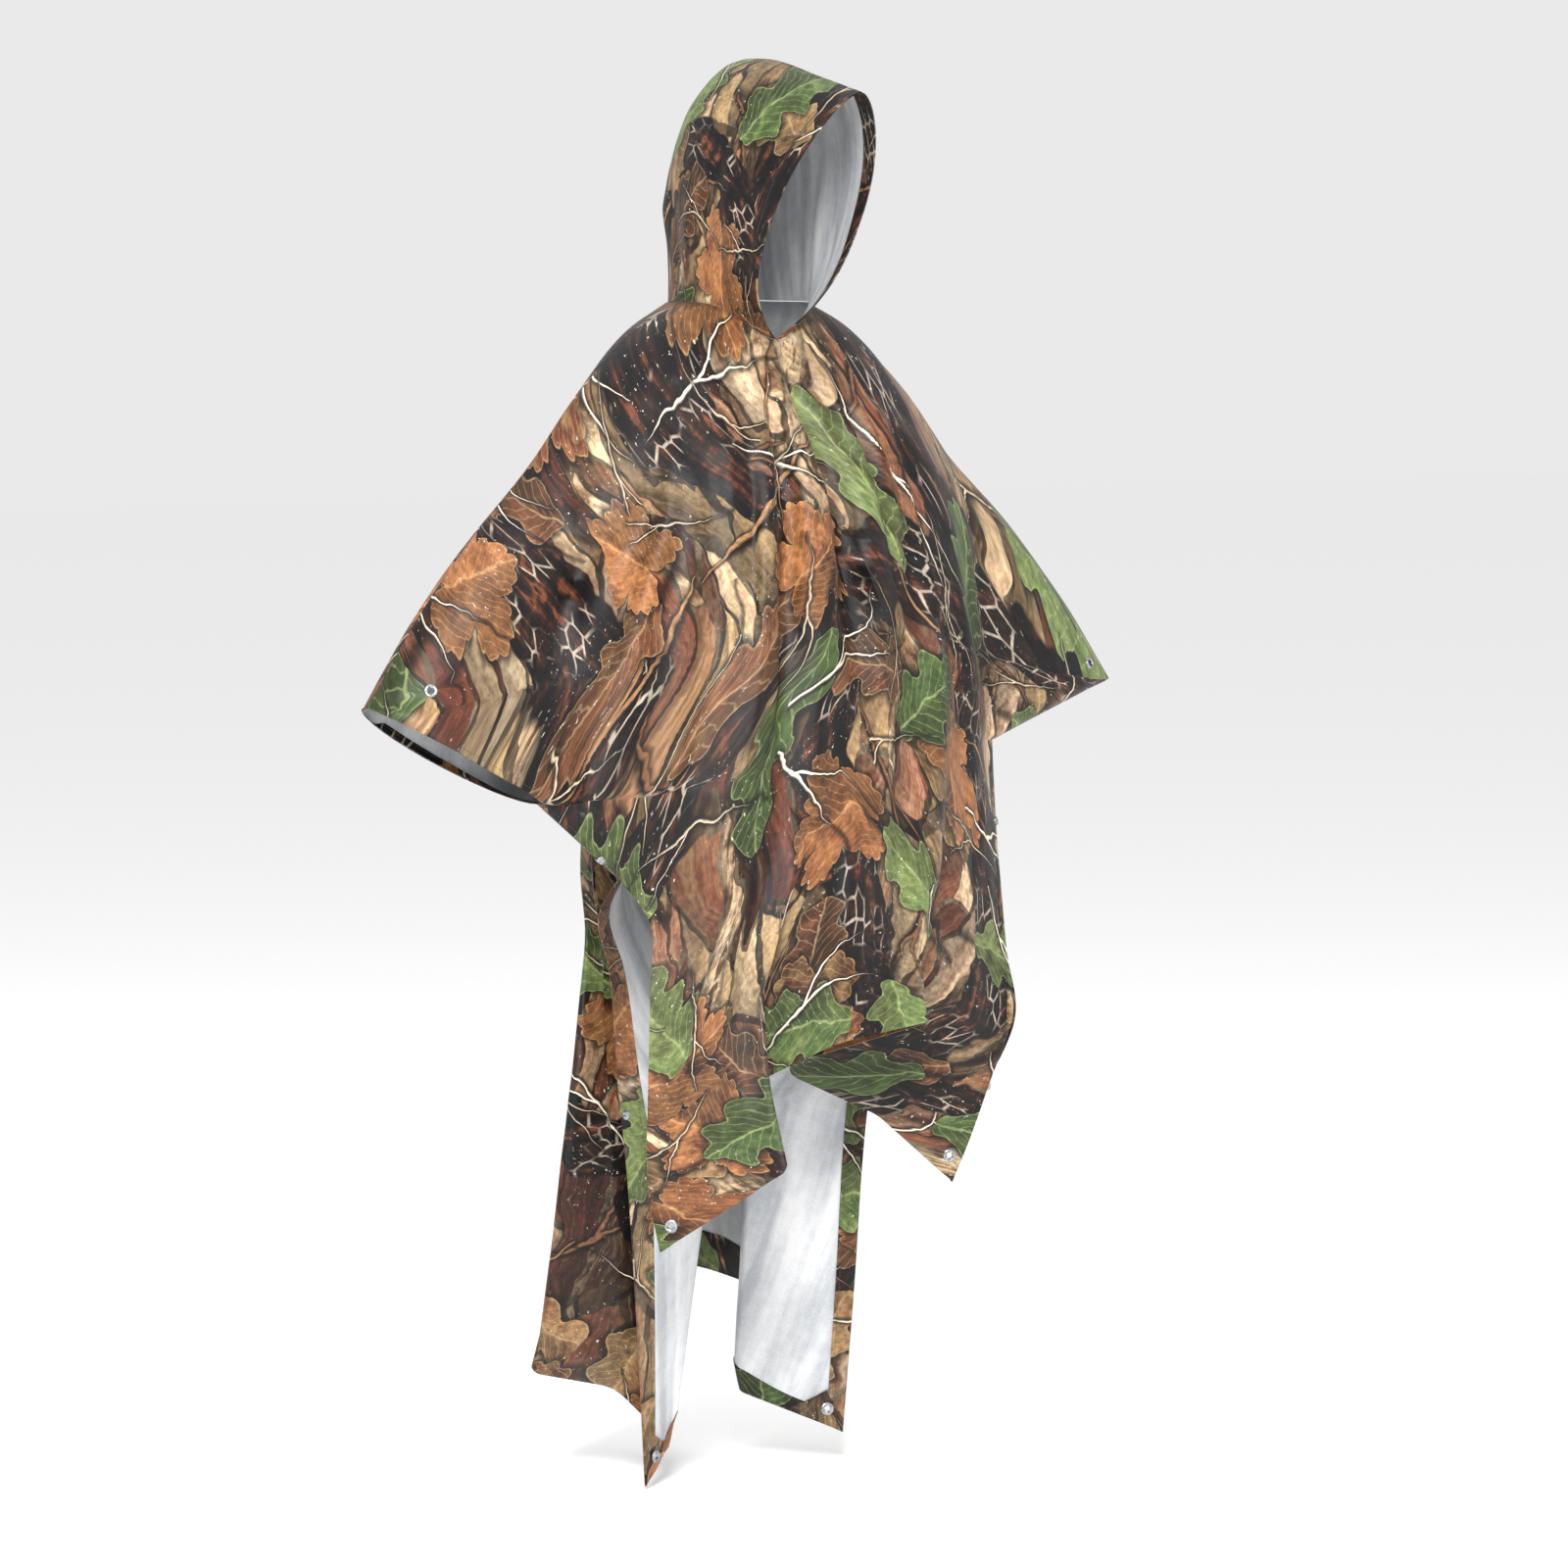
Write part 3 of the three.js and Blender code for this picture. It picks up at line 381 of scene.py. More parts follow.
# Finer creases than the solids have, given one by one: topX, topZ, endX, endZ, deep, wide.
# Deep is inward where it is negative, so the others are low ridges.
fineCreases = {
    "front": [
        (-0.205, -0.160, -0.395, -0.500, -0.005, 0.016), (-0.260, -0.240, -0.330, -0.590, 0.004, 0.012),
        (-0.170, -0.180, -0.262, -0.560, 0.005, 0.014), (-0.330, -0.330, -0.440, -0.520, -0.003, 0.010),
        (-0.095, -0.110, -0.150, -0.480, -0.006, 0.013), (-0.080, -0.260, -0.118, -0.640, 0.005, 0.010),
        (-0.030, -0.090, -0.050, -0.380, 0.005, 0.010), (-0.022, -0.420, -0.034, -0.800, -0.006, 0.014),
        (0.032, -0.110, 0.052, -0.520, 0.005, 0.012), (0.060, -0.080, 0.086, -0.330, -0.006, 0.010),
        (0.052, -0.480, 0.044, -0.830, 0.005, 0.013), (0.108, -0.120, 0.150, -0.420, 0.005, 0.011),
        (0.120, -0.500, 0.112, -0.800, -0.006, 0.013), (0.178, -0.300, 0.196, -0.700, 0.005, 0.012),
        (0.150, -0.560, 0.170, -0.860, -0.005, 0.012), (0.235, -0.200, 0.400, -0.430, -0.004, 0.012),
        (0.255, -0.320, 0.330, -0.500, 0.004, 0.011), (-0.205, -0.640, -0.190, -1.000, -0.006, 0.013),
        (-0.170, -0.700, -0.168, -1.040, 0.005, 0.011), (0.235, -0.620, 0.248, -1.000, -0.005, 0.012),
        (-0.262, -0.600, -0.205, -0.760, -0.005, 0.009), (-0.280, -0.560, -0.160, -0.690, 0.004, 0.010),
        (0.262, -0.560, 0.215, -0.720, -0.006, 0.010), (0.280, -0.640, 0.238, -0.840, 0.004, 0.009),
        (-0.008, -0.060, 0.002, -0.230, -0.005, 0.008), (0.020, -0.052, 0.044, -0.200, -0.004, 0.008),
        (-0.036, -0.050, -0.070, -0.220, -0.004, 0.009), (0.050, -0.045, 0.098, -0.210, 0.003, 0.009),
    ],
    "back": [
        (-0.200, -0.150, -0.390, -0.480, -0.005, 0.015), (-0.255, -0.260, -0.320, -0.580, 0.004, 0.012),
        (-0.140, -0.120, -0.210, -0.560, 0.005, 0.013), (-0.080, -0.060, -0.130, -0.520, -0.006, 0.012),
        (-0.050, -0.300, -0.066, -0.760, 0.005, 0.012), (-0.010, -0.060, -0.024, -0.500, 0.005, 0.011),
        (0.010, -0.480, 0.004, -1.000, -0.006, 0.014), (0.056, -0.080, 0.072, -0.560, 0.005, 0.012),
        (0.084, -0.420, 0.092, -0.900, -0.006, 0.013), (0.140, -0.120, 0.210, -0.540, 0.005, 0.013),
        (0.215, -0.180, 0.380, -0.440, -0.005, 0.014), (0.250, -0.300, 0.320, -0.520, 0.004, 0.011),
        (-0.070, -0.800, -0.088, -1.180, 0.005, 0.013), (0.060, -0.860, 0.070, -1.190, -0.005, 0.013),
    ],
}
# Slow unevenness of the whole cloth: waves per metre across and down, turn and height
ripples = [(3.1, 2.3, 0.4, 0.0020), (5.7, 1.1, 1.9, 0.0012), (2.2, 6.4, 3.3, 0.0010),
           (9.3, 4.2, 5.1, 0.0007), (13.1, 7.7, 0.9, 0.0005), (7.9, 15.2, 2.6, 0.0004)]


def creaseDepth(creases, x, z):
    # Each crease is a bell across its line, with half as high a swell on both sides, and a sine's power
    # along it, which runs a little past its end
    past, apart, blunt = 1.15, 1.7, 0.6
    depth = np.zeros_like(x)
    for topX, topZ, endX, endZ, deep, wide in creases:
        t = np.clip((z - topZ) / (endZ - topZ), 0, past)
        off = (x - lerp(topX, endX, t)) / wide
        bells = np.exp(-off**2) - np.exp(-(off - apart)**2) / 2 - np.exp(-(off + apart)**2) / 2
        depth += deep * np.clip(np.sin(np.pi * t / past), 0, 1)**blunt * bells
    return depth


def readRows(rows, share):
    # Reads every row of points at its own shares of that row's length
    return np.stack([readLine(row, wanted) for row, wanted in zip(rows, share)])


def gridNormals(points, forward):
    # Unit cross product of the directions down and across, on the outer side
    down = np.gradient(points, axis=0)
    across = np.gradient(points, axis=1)
    normals = np.cross(down, across) * -forward
    return normals / np.maximum(np.linalg.norm(normals, axis=2, keepdims=True), 1e-12)


def clothArea(points):
    # Sum of the cells' cross products, each a parallelogram
    cells = np.cross(np.diff(points[:, :-1], axis=0), np.diff(points[:-1], axis=1))
    return round(float(np.linalg.norm(cells, axis=2).sum()), 3)


def panelSurface(name, panel):
    # Swollen rows between the side edges, pressed in by the creases and pulled down onto the folded lines
    forward, folds, foldStart = panel["forward"], panel["folds"], panel["foldStart"]
    rounds = [fold[6] for fold in folds]
    hem = foldedLine(np.array([fold[3:6] for fold in folds]), rounds)
    halfWay = foldedLine(np.array([(fold[1], fold[2], 0) for fold in folds]), rounds)
    curve, share, across = mainColumns(panel, hem)
    last = len(curve) - 1
    ends = np.where(curve[1:] == curve[:-1], share[1:], 1)
    span = np.array([hem[k]["length"] for k in curve[:-1]]) * (ends - share[:-1])

    def columnParts(j):
        if j in (0, last - 1):
            return cut["sideParts"]
        return cut["edgeParts"] if j in (1, last - 2) else max(2, round(span[j] / cut["columnStep"]))

    s, q = fineSteps(sheetRows, rowParts), fineSteps(last, columnParts)
    base = np.minimum(q.astype(int), last - 1)
    t = lerp(share[base], ends[base], q - base)
    hung = between(list(enumerate(across)), q, 1)
    onHem, onMiddle = np.zeros((len(q), 3)), np.zeros((len(q), 3))
    for k in range(len(hem)):
        onHem[curve[base] == k] = hem[k]["at"](t[curve[base] == k])
        onMiddle[curve[base] == k] = halfWay[k]["at"](t[curve[base] == k])

    row = s / sheetRows
    a = -np.cos(np.pi * np.arange(cut["plainPoints"] + 1) / cut["plainPoints"])
    sideways = np.abs(a)[None, :]
    right = sideBoundary(panel, sides["right"], panel["rightEdge"], s)
    left = sideBoundary(panel, sides["left"], panel["leftEdge"], s)
    edge = np.where((a < 0)[None, :, None], right[:, None], left[:, None])
    middle, reach, side, roundness = [between(panel["swell"], row, k)[:, None] for k in (1, 2, 3, 4)]
    wall = np.sqrt(1 - sideways**roundness)
    x = edge[..., 0] * sideways
    swollen = np.clip(1 - np.abs(x / panel["bodyHalfWidth"])**3, 0, None)
    y = lerp(edge[..., 1], forward * side, wall) + forward * (reach - side) * swollen * wall
    z = lerp(middle, edge[..., 2], ease(sideways))
    plain = np.stack([x, y, z], axis=-1)

    even = ease(np.clip(row / foldStart, 0, 1))[:, None]
    shares = lerp((q / last)[None, :], hung[None, :], even)
    points = readRows(plain, shares)
    # Folded layers lie close together, so nothing is added to the solids' creases there
    loose = 1 - ease(np.clip((row - foldStart + cut["looseEnd"]) / cut["looseFade"], 0, 1))[:, None]
    deeper = lerp(1, cut["mainCreases"], loose)
    depth = creaseDepth(panel["creases"], points[..., 0], points[..., 2]) * deeper
    points[..., 1] += forward * depth * np.clip(np.sin(np.pi * shares), 0, 1)**0.5

    foldRow = math.floor(panel["foldMiddle"] * sheetRows + 0.5)
    foldAt = foldRow / sheetRows
    toHem = onHem - readLine(plain[-1], hung)
    toMiddle = onMiddle - readLine(plain[nearest(s, foldRow)], hung)
    toMiddle[:, 2] = toHem[:, 2] / 4
    upper = np.clip((row - foldStart) / (foldAt - foldStart), 0, 1)[:, None, None]**1.6
    lower = np.clip((row - foldAt) / (1 - foldAt), 0, 1)[:, None, None]
    fromEdge = np.clip(np.minimum(q, last - q), 0, 1)[None, :, None]
    points += np.where(lower > 0, lerp(toMiddle, toHem, lower), toMiddle * upper) * fromEdge

    # The print's own place: across by the length of each row from its middle, down by the length of the
    # side edge at the sides and of the middle line between them
    edgeRun, middleRun = runAlong(right), runAlong(plain[:, len(a) // 2])
    edgeDown = np.clip(edgeRun - edgeRun[s == cut["shoulderRows"]][0], 0, None)
    edgeDown *= panel["length"] / edgeDown[-1]
    middleDown = lerp(cut["neckDrop"], panel["length"], middleRun / middleRun[-1])
    down = readRows(lerp(middleDown[:, None], edgeDown[:, None], ease(sideways))[..., None], shares)
    runs = runAlong(points, 1)
    flat = np.concatenate([(runs - runs[:, len(q) // 2, None])[..., None], down * forward], axis=2)

    # Fine creases and slow ripples move the cloth along its normals, and fade towards its edges
    normals = gridNormals(points, forward)
    small = creaseDepth(fineCreases[name], points[..., 0], points[..., 2]) * cut["fineCreases"]
    for acrossWaves, downWaves, turn, height in ripples:
        small += height * np.sin(2 * np.pi * (flat[..., 0] * acrossWaves + flat[..., 1] * downWaves) + turn)
    fade = np.clip(np.minimum(q, last - q) / cut["fadeColumns"], 0, 1)[None, :]
    fade = fade * np.clip(s / cut["fadeRows"], 0, 1)[:, None]
    fade = fade * np.clip((sheetRows - s) / cut["hemFadeRows"], cut["hemLeast"], 1)[:, None]
    fade = fade * lerp(1 - cut["stillFolds"], 1, loose)
    points += normals * (small * fade)[..., None]
    # Where pieces are sewn together their normals stay level with the seam, so that they end flush
    normals = gridNormals(points, forward)
    normals[0, :, 2] = 0
    normals[s <= seamEnd, ::len(q) - 1, 1] = 0
    normals /= np.linalg.norm(normals, axis=2, keepdims=True)
    print(name, "panel has", clothArea(points), "square metres of cloth")
    return {"points": points, "flat": flat, "rows": s, "columns": q, "lastColumn": last, "normals": normals,
            "holes": []}


def pullToRing(surface, i, j, radius):
    # Sets the eight neighbours of a grid point on a ring round it, in the plane of the cloth there
    centre, normal = surface["points"][i, j].copy(), surface["normals"][i, j]
    for di in (-1, 0, 1):
        for dj in (-1, 0, 1):
            if di or dj:
                arm = surface["points"][i + di, j + dj] - centre
                arm -= normal * (arm @ normal)
                surface["points"][i + di, j + dj] = centre + arm / np.linalg.norm(arm) * radius
    surface["holes"].append((i, j))
    return {"point": centre, "normal": normal}


def gridFaces(shape, holes=()):
    # The four corners of every cell, without the cells round each hole
    index = np.arange(shape[0] * shape[1]).reshape(shape)
    keep = np.ones((shape[0] - 1, shape[1] - 1), bool)
    for i, j in holes:
        keep[max(i - 1, 0):max(i + 1, 0), max(j - 1, 0):max(j + 1, 0)] = False
    cells = np.stack([index[:-1, :-1], index[1:, :-1], index[1:, 1:], index[:-1, 1:]], axis=-1)
    return cells[keep]


def turnedOver(faces):
    # Faces seen from behind, cut along the same diagonals
    return np.roll(faces[:, ::-1], 1, axis=1)


def rootPiece(name, mesh):
    piece = inScene(name, mesh)
    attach(piece, "root")
    return piece


def standIn(node):
    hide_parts(node)


def shell(name, points, normals, flat, faces, layers, paints):
    # Two layers of one set of faces, moved along the normals by the heights in layers, with a strip along
    # every free edge. The first paint is on the upper layer and the strips, the last on the lower layer.
    high, low = layers
    count = len(points)
    edges = np.vstack([np.stack([f, np.roll(f, -1, axis=1)], axis=-1).reshape(-1, 2) for f in faces])
    facing = edges[:, 1] * count + edges[:, 0]
    free = edges[~np.isin(edges[:, 0] * count + edges[:, 1], facing)]
    strips = np.stack([free[:, 1], free[:, 0], free[:, 0] + count, free[:, 1] + count], axis=1)
    upper = sum(len(f) for f in faces)
    under = [turnedOver(f) + count for f in faces]
    everyFace = [corners for f in [*faces, *under, strips] for corners in f.tolist()]
    mesh = bpy.data.meshes.new(name)
    mesh.from_pydata(np.vstack([points + normals * high, points + normals * low]), [], everyFace)
    look = np.repeat([0, len(paints) - 1, 0], [upper, upper, len(strips)])
    mesh.polygons.foreach_set("material_index", look)
    mesh.polygons.foreach_set("use_smooth", np.ones(len(look), bool))
    corners = np.zeros(len(mesh.loops), np.int32)
    mesh.loops.foreach_get("vertex_index", corners)
    layer = mesh.uv_layers.new(name="cloth")
    layer.data.foreach_set("uv", np.vstack([flat, flat])[corners].astype(np.float32).ravel())
    mesh.set_sharp_from_angle(angle=cut["sharpFrom"])
    for paint in paints:
        mesh.materials.append(paint)
    return rootPiece(name, mesh)


def facingOut(faces, points, normals):
    # Turns the faces over if they look away from the normals
    a, b, c = (points[faces[0][:, k]] for k in (0, 1, 2))
    facing = np.einsum("ij,ij->i", np.cross(b - a, c - a), normals[faces[0][:, 0]])
    return faces if np.median(facing) > 0 else [turnedOver(f) for f in faces]


def rawParts(grid):
    return grid["points"].reshape(-1, 3), grid["normals"].reshape(-1, 3), grid["flat"].reshape(-1, 2)


def sheetPiece(name, grid, layers, paints, holes=()):
    # A shell over the whole of a grid, but for its holes
    points, normals, flat = rawParts(grid)
    faces = facingOut([gridFaces(grid["points"].shape[:2], holes)], points, normals)
    return shell(name, points, normals, flat, faces, layers, paints)


def window(surface, rows, columns):
    # A part of a surface, by slices of its rows and columns, with the holes in it
    i0, j0 = rows.start or 0, columns.start or 0
    part = {key: surface[key][rows, columns] for key in ("points", "normals", "flat")}
    part["holes"] = [(i - i0, j - j0) for i, j in surface["holes"]]
    return part


panels = {"front": frontPanel, "back": backPanel}
surfaces = {name: panelSurface(name, panel) for name, panel in panels.items()}

# Eyelets: one in each corner of the sheet and one by the top of each cuff
eyelet = {"ring": 0.0054, "hole": 0.004, "flange": 0.008, "crown": 0.0011, "segments": 48,
          "washer": 0.0008, "washerEdge": 0.0004, "barrelWall": 0.001,
          "cuffRight": (-0.486, -0.036, -0.457), "cuffLeft": (0.494, -0.043, -0.456)}
snap = {"radius": 0.0055, "height": 0.002, "segments": 40, "openDrop": 0.330, "inEdge": 0.5}

eyeletPlaces = {}
for name, surface in surfaces.items():
    i = nearest(surface["rows"], sheetRows - 1)
    for side, column in [("right", 1), ("left", surface["lastColumn"] - 1)]:
        j = nearest(surface["columns"], column)
        eyeletPlaces[f"{name}_{side}"] = pullToRing(surface, i, j, eyelet["ring"])
for side, spot in [("right", eyelet["cuffRight"]), ("left", eyelet["cuffLeft"])]:
    away = np.linalg.norm(surfaces["front"]["points"] - np.array(spot), axis=2)
    i, j = np.unravel_index(np.argmin(away), away.shape)
    eyeletPlaces[f"cuff_{side}"] = pullToRing(surfaces["front"], int(i), int(j), eyelet["ring"])
print("eyelets placed")


class Value:
    # An output of a shader node: sums, products and the like of it are Math nodes in the same tree
    def __init__(self, socket):
        self.socket = socket
        self.tree = socket.id_data

    __add__ = __radd__ = lambda self, other: calc("ADD", self, other)
    __mul__ = __rmul__ = lambda self, other: calc("MULTIPLY", self, other)
    __sub__ = lambda self, other: calc("SUBTRACT", self, other)
    __rsub__ = lambda self, other: calc("SUBTRACT", other, self)
    __truediv__ = lambda self, other: calc("DIVIDE", self, other)
    __pow__ = lambda self, other: calc("POWER", self, other)
    __abs__ = lambda self: calc("ABSOLUTE", self)
    __lt__ = lambda self, other: calc("LESS_THAN", self, other)


def addNode(tree, kind, inputs=None, **settings):
    made = tree.nodes.new(kind)
    for key, value in settings.items():
        setattr(made, key, value)
    for socket, value in (inputs or {}).items():
        if isinstance(value, Value):
            tree.links.new(value.socket, made.inputs[socket])
        else:
            made.inputs[socket].default_value = value
    return made


def treeOf(values):
    return next(value.tree for value in values if isinstance(value, Value))


def calc(operation, *values):
    made = addNode(treeOf(values), "ShaderNodeMath", dict(enumerate(values)), operation=operation)
    return Value(made.outputs[0])


def vector(operation, *values):
    made = addNode(treeOf(values), "ShaderNodeVectorMath", dict(enumerate(values)), operation=operation)
    return Value(made.outputs["Value" if operation == "LENGTH" else "Vector"])


def blend(factor, under, over, kind="MIX"):
    inputs = {0: factor, 6: under, 7: over}
    made = addNode(treeOf(inputs.values()), "ShaderNodeMix", inputs, data_type="RGBA", blend_type=kind)
    return Value(made.outputs[2])


def tint(red, green, blue):
    # Screen colour from 0 to 255 as light
    return tuple((value / 255)**2.2 for value in (red, green, blue)) + (1,)


def ramp(factor, stops):
    made = addNode(factor.tree, "ShaderNodeValToRGB", {0: factor})
    steps = made.color_ramp.elements
    for place, shade in stops[2:]:
        steps.new(place)
    for step, (place, shade) in zip(steps, sorted(stops)):
        step.position, step.color = place, shade
    return Value(made.outputs[0])


def soft(value, low, high):
    # From 0 at low to 1 at high, slowly at both ends
    inputs = {"Value": value, "From Min": low, "From Max": high}
    made = addNode(value.tree, "ShaderNodeMapRange", inputs, interpolation_type="SMOOTHSTEP")
    return Value(made.outputs[0])


def noise(place, scale, detail=3, rough=0.5, output=0, dimensions="2D"):
    inputs = {"Vector": place, "Scale": scale, "Detail": detail, "Roughness": rough}
    made = addNode(place.tree, "ShaderNodeTexNoise", inputs, noise_dimensions=dimensions)
    return Value(made.outputs[output])


def voronoi(place, scale, random, feature="F1"):
    inputs = {"Vector": place, "Scale": scale, "Randomness": random}
    settings = {"voronoi_dimensions": "2D", "feature": feature}
    return addNode(place.tree, "ShaderNodeTexVoronoi", inputs, **settings).outputs


def cells(place, scale, random):
    # Each cell's own three chances, and the place measured from the cell's own point
    made = voronoi(place, scale, random)
    chances = addNode(place.tree, "ShaderNodeSeparateColor", {0: Value(made["Color"])}).outputs
    return [Value(chance) for chance in chances], vector("SUBTRACT", place, Value(made["Position"]))


def cellEdges(place, scale, random):
    return Value(voronoi(place, scale, random, "DISTANCE_TO_EDGE")["Distance"])


def mapped(place, move=(0, 0, 0), turn=0, size=(1, 1, 1)):
    inputs = {"Vector": place, "Location": move, "Rotation": (0, 0, turn), "Scale": size}
    return Value(addNode(place.tree, "ShaderNodeMapping", inputs).outputs[0])


def rotated(place, angle):
    # The first two parts of a place, turned by an angle
    inputs = {"Vector": place, "Angle": angle}
    made = addNode(place.tree, "ShaderNodeVectorRotate", inputs, rotation_type="Z_AXIS")
    return parts(Value(made.outputs[0]))


def parts(place):
    return [Value(part) for part in addNode(place.tree, "ShaderNodeSeparateXYZ", {0: place}).outputs[:2]]


def warped(place, scale, detail, reach, middle=0.0):
    # A place moved by a noise's colour, less its middle, times a reach
    push = noise(place, scale, detail, output="Color")
    if middle:
        push = vector("SUBTRACT", push, (middle, middle, middle))
    return vector("MULTIPLY_ADD", push, (reach, reach, 0), place)


# A made-up woodland print, in metres of cloth. Each list of shades gives its places from 0 to 1.
woodland = {
    "deepen": 1.16, "colourful": 0.92,
    "litter": [(0.18, tint(34, 25, 20)), (0.34, tint(84, 52, 34)), (0.48, tint(146, 116, 82)),
               (0.62, tint(216, 198, 160)), (0.78, tint(138, 76, 42)), (0.90, tint(58, 36, 26))],
    "shards": [(0, tint(212, 190, 150)), (0.25, tint(118, 60, 32)), (0.45, tint(182, 154, 110)),
               (0.62, tint(58, 34, 24)), (0.80, tint(134, 72, 38)), (1, tint(224, 206, 170))],
    "barkDark": [(0.30, tint(10, 11, 17)), (0.50, tint(22, 18, 20)), (0.62, tint(60, 36, 24)),
                 (0.72, tint(124, 72, 40)), (0.82, tint(30, 24, 24))],
    "barkPale": [(0.28, tint(38, 28, 24)), (0.45, tint(104, 78, 54)), (0.58, tint(194, 170, 134)),
                 (0.72, tint(96, 62, 42))],
    "greens": [(0, tint(52, 66, 36)), (0.4, tint(82, 102, 56)), (0.7, tint(124, 140, 84)),
               (1, tint(72, 70, 40))],
    "oranges": [(0, tint(112, 66, 34)), (0.4, tint(172, 116, 62)), (0.7, tint(96, 54, 32)),
                (1, tint(196, 158, 106))],
    "browns": [(0, tint(64, 38, 24)), (0.4, tint(122, 78, 46)), (0.7, tint(160, 130, 88)),
               (1, tint(80, 50, 32))],
    "fine": [(0.3, tint(60, 56, 52)), (0.7, tint(196, 192, 184))],
    "flecks": tint(232, 228, 216),
}


def shards(flat, under, layer):
    # Long torn pieces: stretched cells, each of its own tone, lit on one side and dark at their edges
    turned = mapped(flat, (*layer["move"], 0), layer["turn"], (1, 0.30, 1))
    (chance, tone, _), local = cells(turned, layer["cells"], 0.9)
    edge = cellEdges(turned, layer["cells"], 0.9)
    veins = noise(mapped(turned, size=(140, 30, 1)), 1, 4, 0.6)
    shade = ramp(veins * 0.3 + (tone * 0.9 - 0.1), woodland["shards"])
    lit = soft(parts(local)[0] * layer["cells"], 0.45, -0.30)
    shade = blend(lit * 0.55, shade, tint(30, 20, 16))
    kept = chance < layer["kept"]
    mask = soft(edge, layer["gap"], layer["gap"] + 0.02) * kept
    return blend(mask, blend(kept * 0.72, under, tint(16, 12, 12)), shade)


def barkBands(flat, under, layer):
    # Bands across one direction, their edges wandering, cracked and streaked along their length
    turned = mapped(flat, (*layer["move"], 0), layer["turn"])
    pushed = noise(turned, 5, 4) * 0.16 + parts(turned)[0]
    inside = layer["wide"] / 2 - calc("PINGPONG", pushed, layer["every"] / 2)
    streaks = noise(mapped(turned, size=(70, 9, 1)), 1, 6, 0.65)
    cracks = noise(mapped(turned, size=(26, 60, 1)), 1, 3)
    shade = ramp(cracks * 0.35 + streaks * 0.75, woodland[layer["shades"]])
    plates = cellEdges(mapped(turned, size=(70, 30, 1)), 1, 1)
    dry = soft(noise(turned, 14, 3), 0.50, 0.62)
    shade = blend(soft(plates, 0.09, 0.03) * dry * 0.8, shade, tint(190, 176, 160))
    shade = blend((1 - soft(inside, 0, 0.022)) * 0.7, shade, tint(14, 12, 14))
    return blend(soft(inside, 0, 0.004), under, shade)


def twigs(flat, under, layer):
    # One twig in some cells: a bowed line that thins to both ends, and a branch off it on one side
    moved = mapped(flat, (*layer["move"], 0))
    (chance, turn, bow), local = cells(moved, layer["cells"], 0.9)
    along, beside = rotated(local, turn * layer["spread"] + layer["turn"])
    off = beside + along * along * (bow * 6 - 3) + (noise(moved, 24, 2) * 0.018 - 0.009)
    taper = calc("MAXIMUM", 1 - abs(along) / layer["long"], 0)
    main = taper * layer["thin"] - abs(off)
    branch = taper * (layer["thin"] * 0.7) - abs(along * -0.62 + off) - soft(along, 0.002, -0.002)
    nearest = calc("MAXIMUM", main, branch)
    kept = chance < layer["kept"]
    shadow = blend(soft(nearest, -0.005, 0) * kept * 0.75, under, tint(14, 11, 10))
    lit = blend(soft(off, 0.001, -0.002), layer["shade"], tint(44, 32, 26), "MULTIPLY")
    return blend(soft(nearest, 0, 0.0008) * kept, shadow, lit)


def leaves(flat, under, layer):
    # One leaf in some cells, turned and shaded by the cell's own chances. Its outline is an oval whose half
    # width falls in between its lobes, or a star with five points.
    moved = mapped(warped(flat, 22, 3, 0.022, 0.5), (*layer["move"], 0))
    (chance, turn, tone), local = cells(moved, layer["cells"], 0.75)
    along, beside = rotated(local, turn * (2 * math.pi))
    off = abs(beside)
    deep = layer["deep"]
    if layer["lobes"]:
        share = along / layer["long"]
        oval = calc("SQRT", calc("MAXIMUM", 1 - abs(share) ** 2.4, 0))
        wave = calc("COSINE", off * -40 + share * (layer["lobes"] * math.pi))
        inside = oval * layer["wide"] * (wave * (deep / 2) + (1 - deep / 2)) - off
        ribs = off * -0.9 + along
    else:
        heading = calc("ARCTAN2", beside, along)
        points, teeth = [abs(calc("COSINE", heading * waves)) for waves in (2.5, 12.5)]
        inside = (teeth * 0.10 + (points * deep + (1 - deep))) * layer["wide"] - vector("LENGTH", local)
        ribs = off * -1.4 + along
    rib = soft(calc("PINGPONG", ribs, 0.0065), 0.0012, 0.0004) * 0.6
    vein = calc("MAXIMUM", soft(off, 0.0022, 0.0008), rib)
    shade = ramp(noise(moved, 30, 4) * 0.9 + (tone * 0.7 - 0.35), woodland[layer["shades"]])
    shade = blend(soft(beside, 0.004, -0.010) * 0.45, shade, tint(40, 40, 22))
    shade = blend(vein * 0.42, shade, layer["rim"])
    shade = blend(soft(inside, 0.0034, 0.0014) * 0.35, shade, layer["rim"])
    kept = chance < layer["kept"]
    halo = blend(soft(inside, -0.014, 0) * kept * 0.78, under, tint(16, 14, 12))
    return blend(soft(inside, 0, 0.0014) * kept, halo, shade)


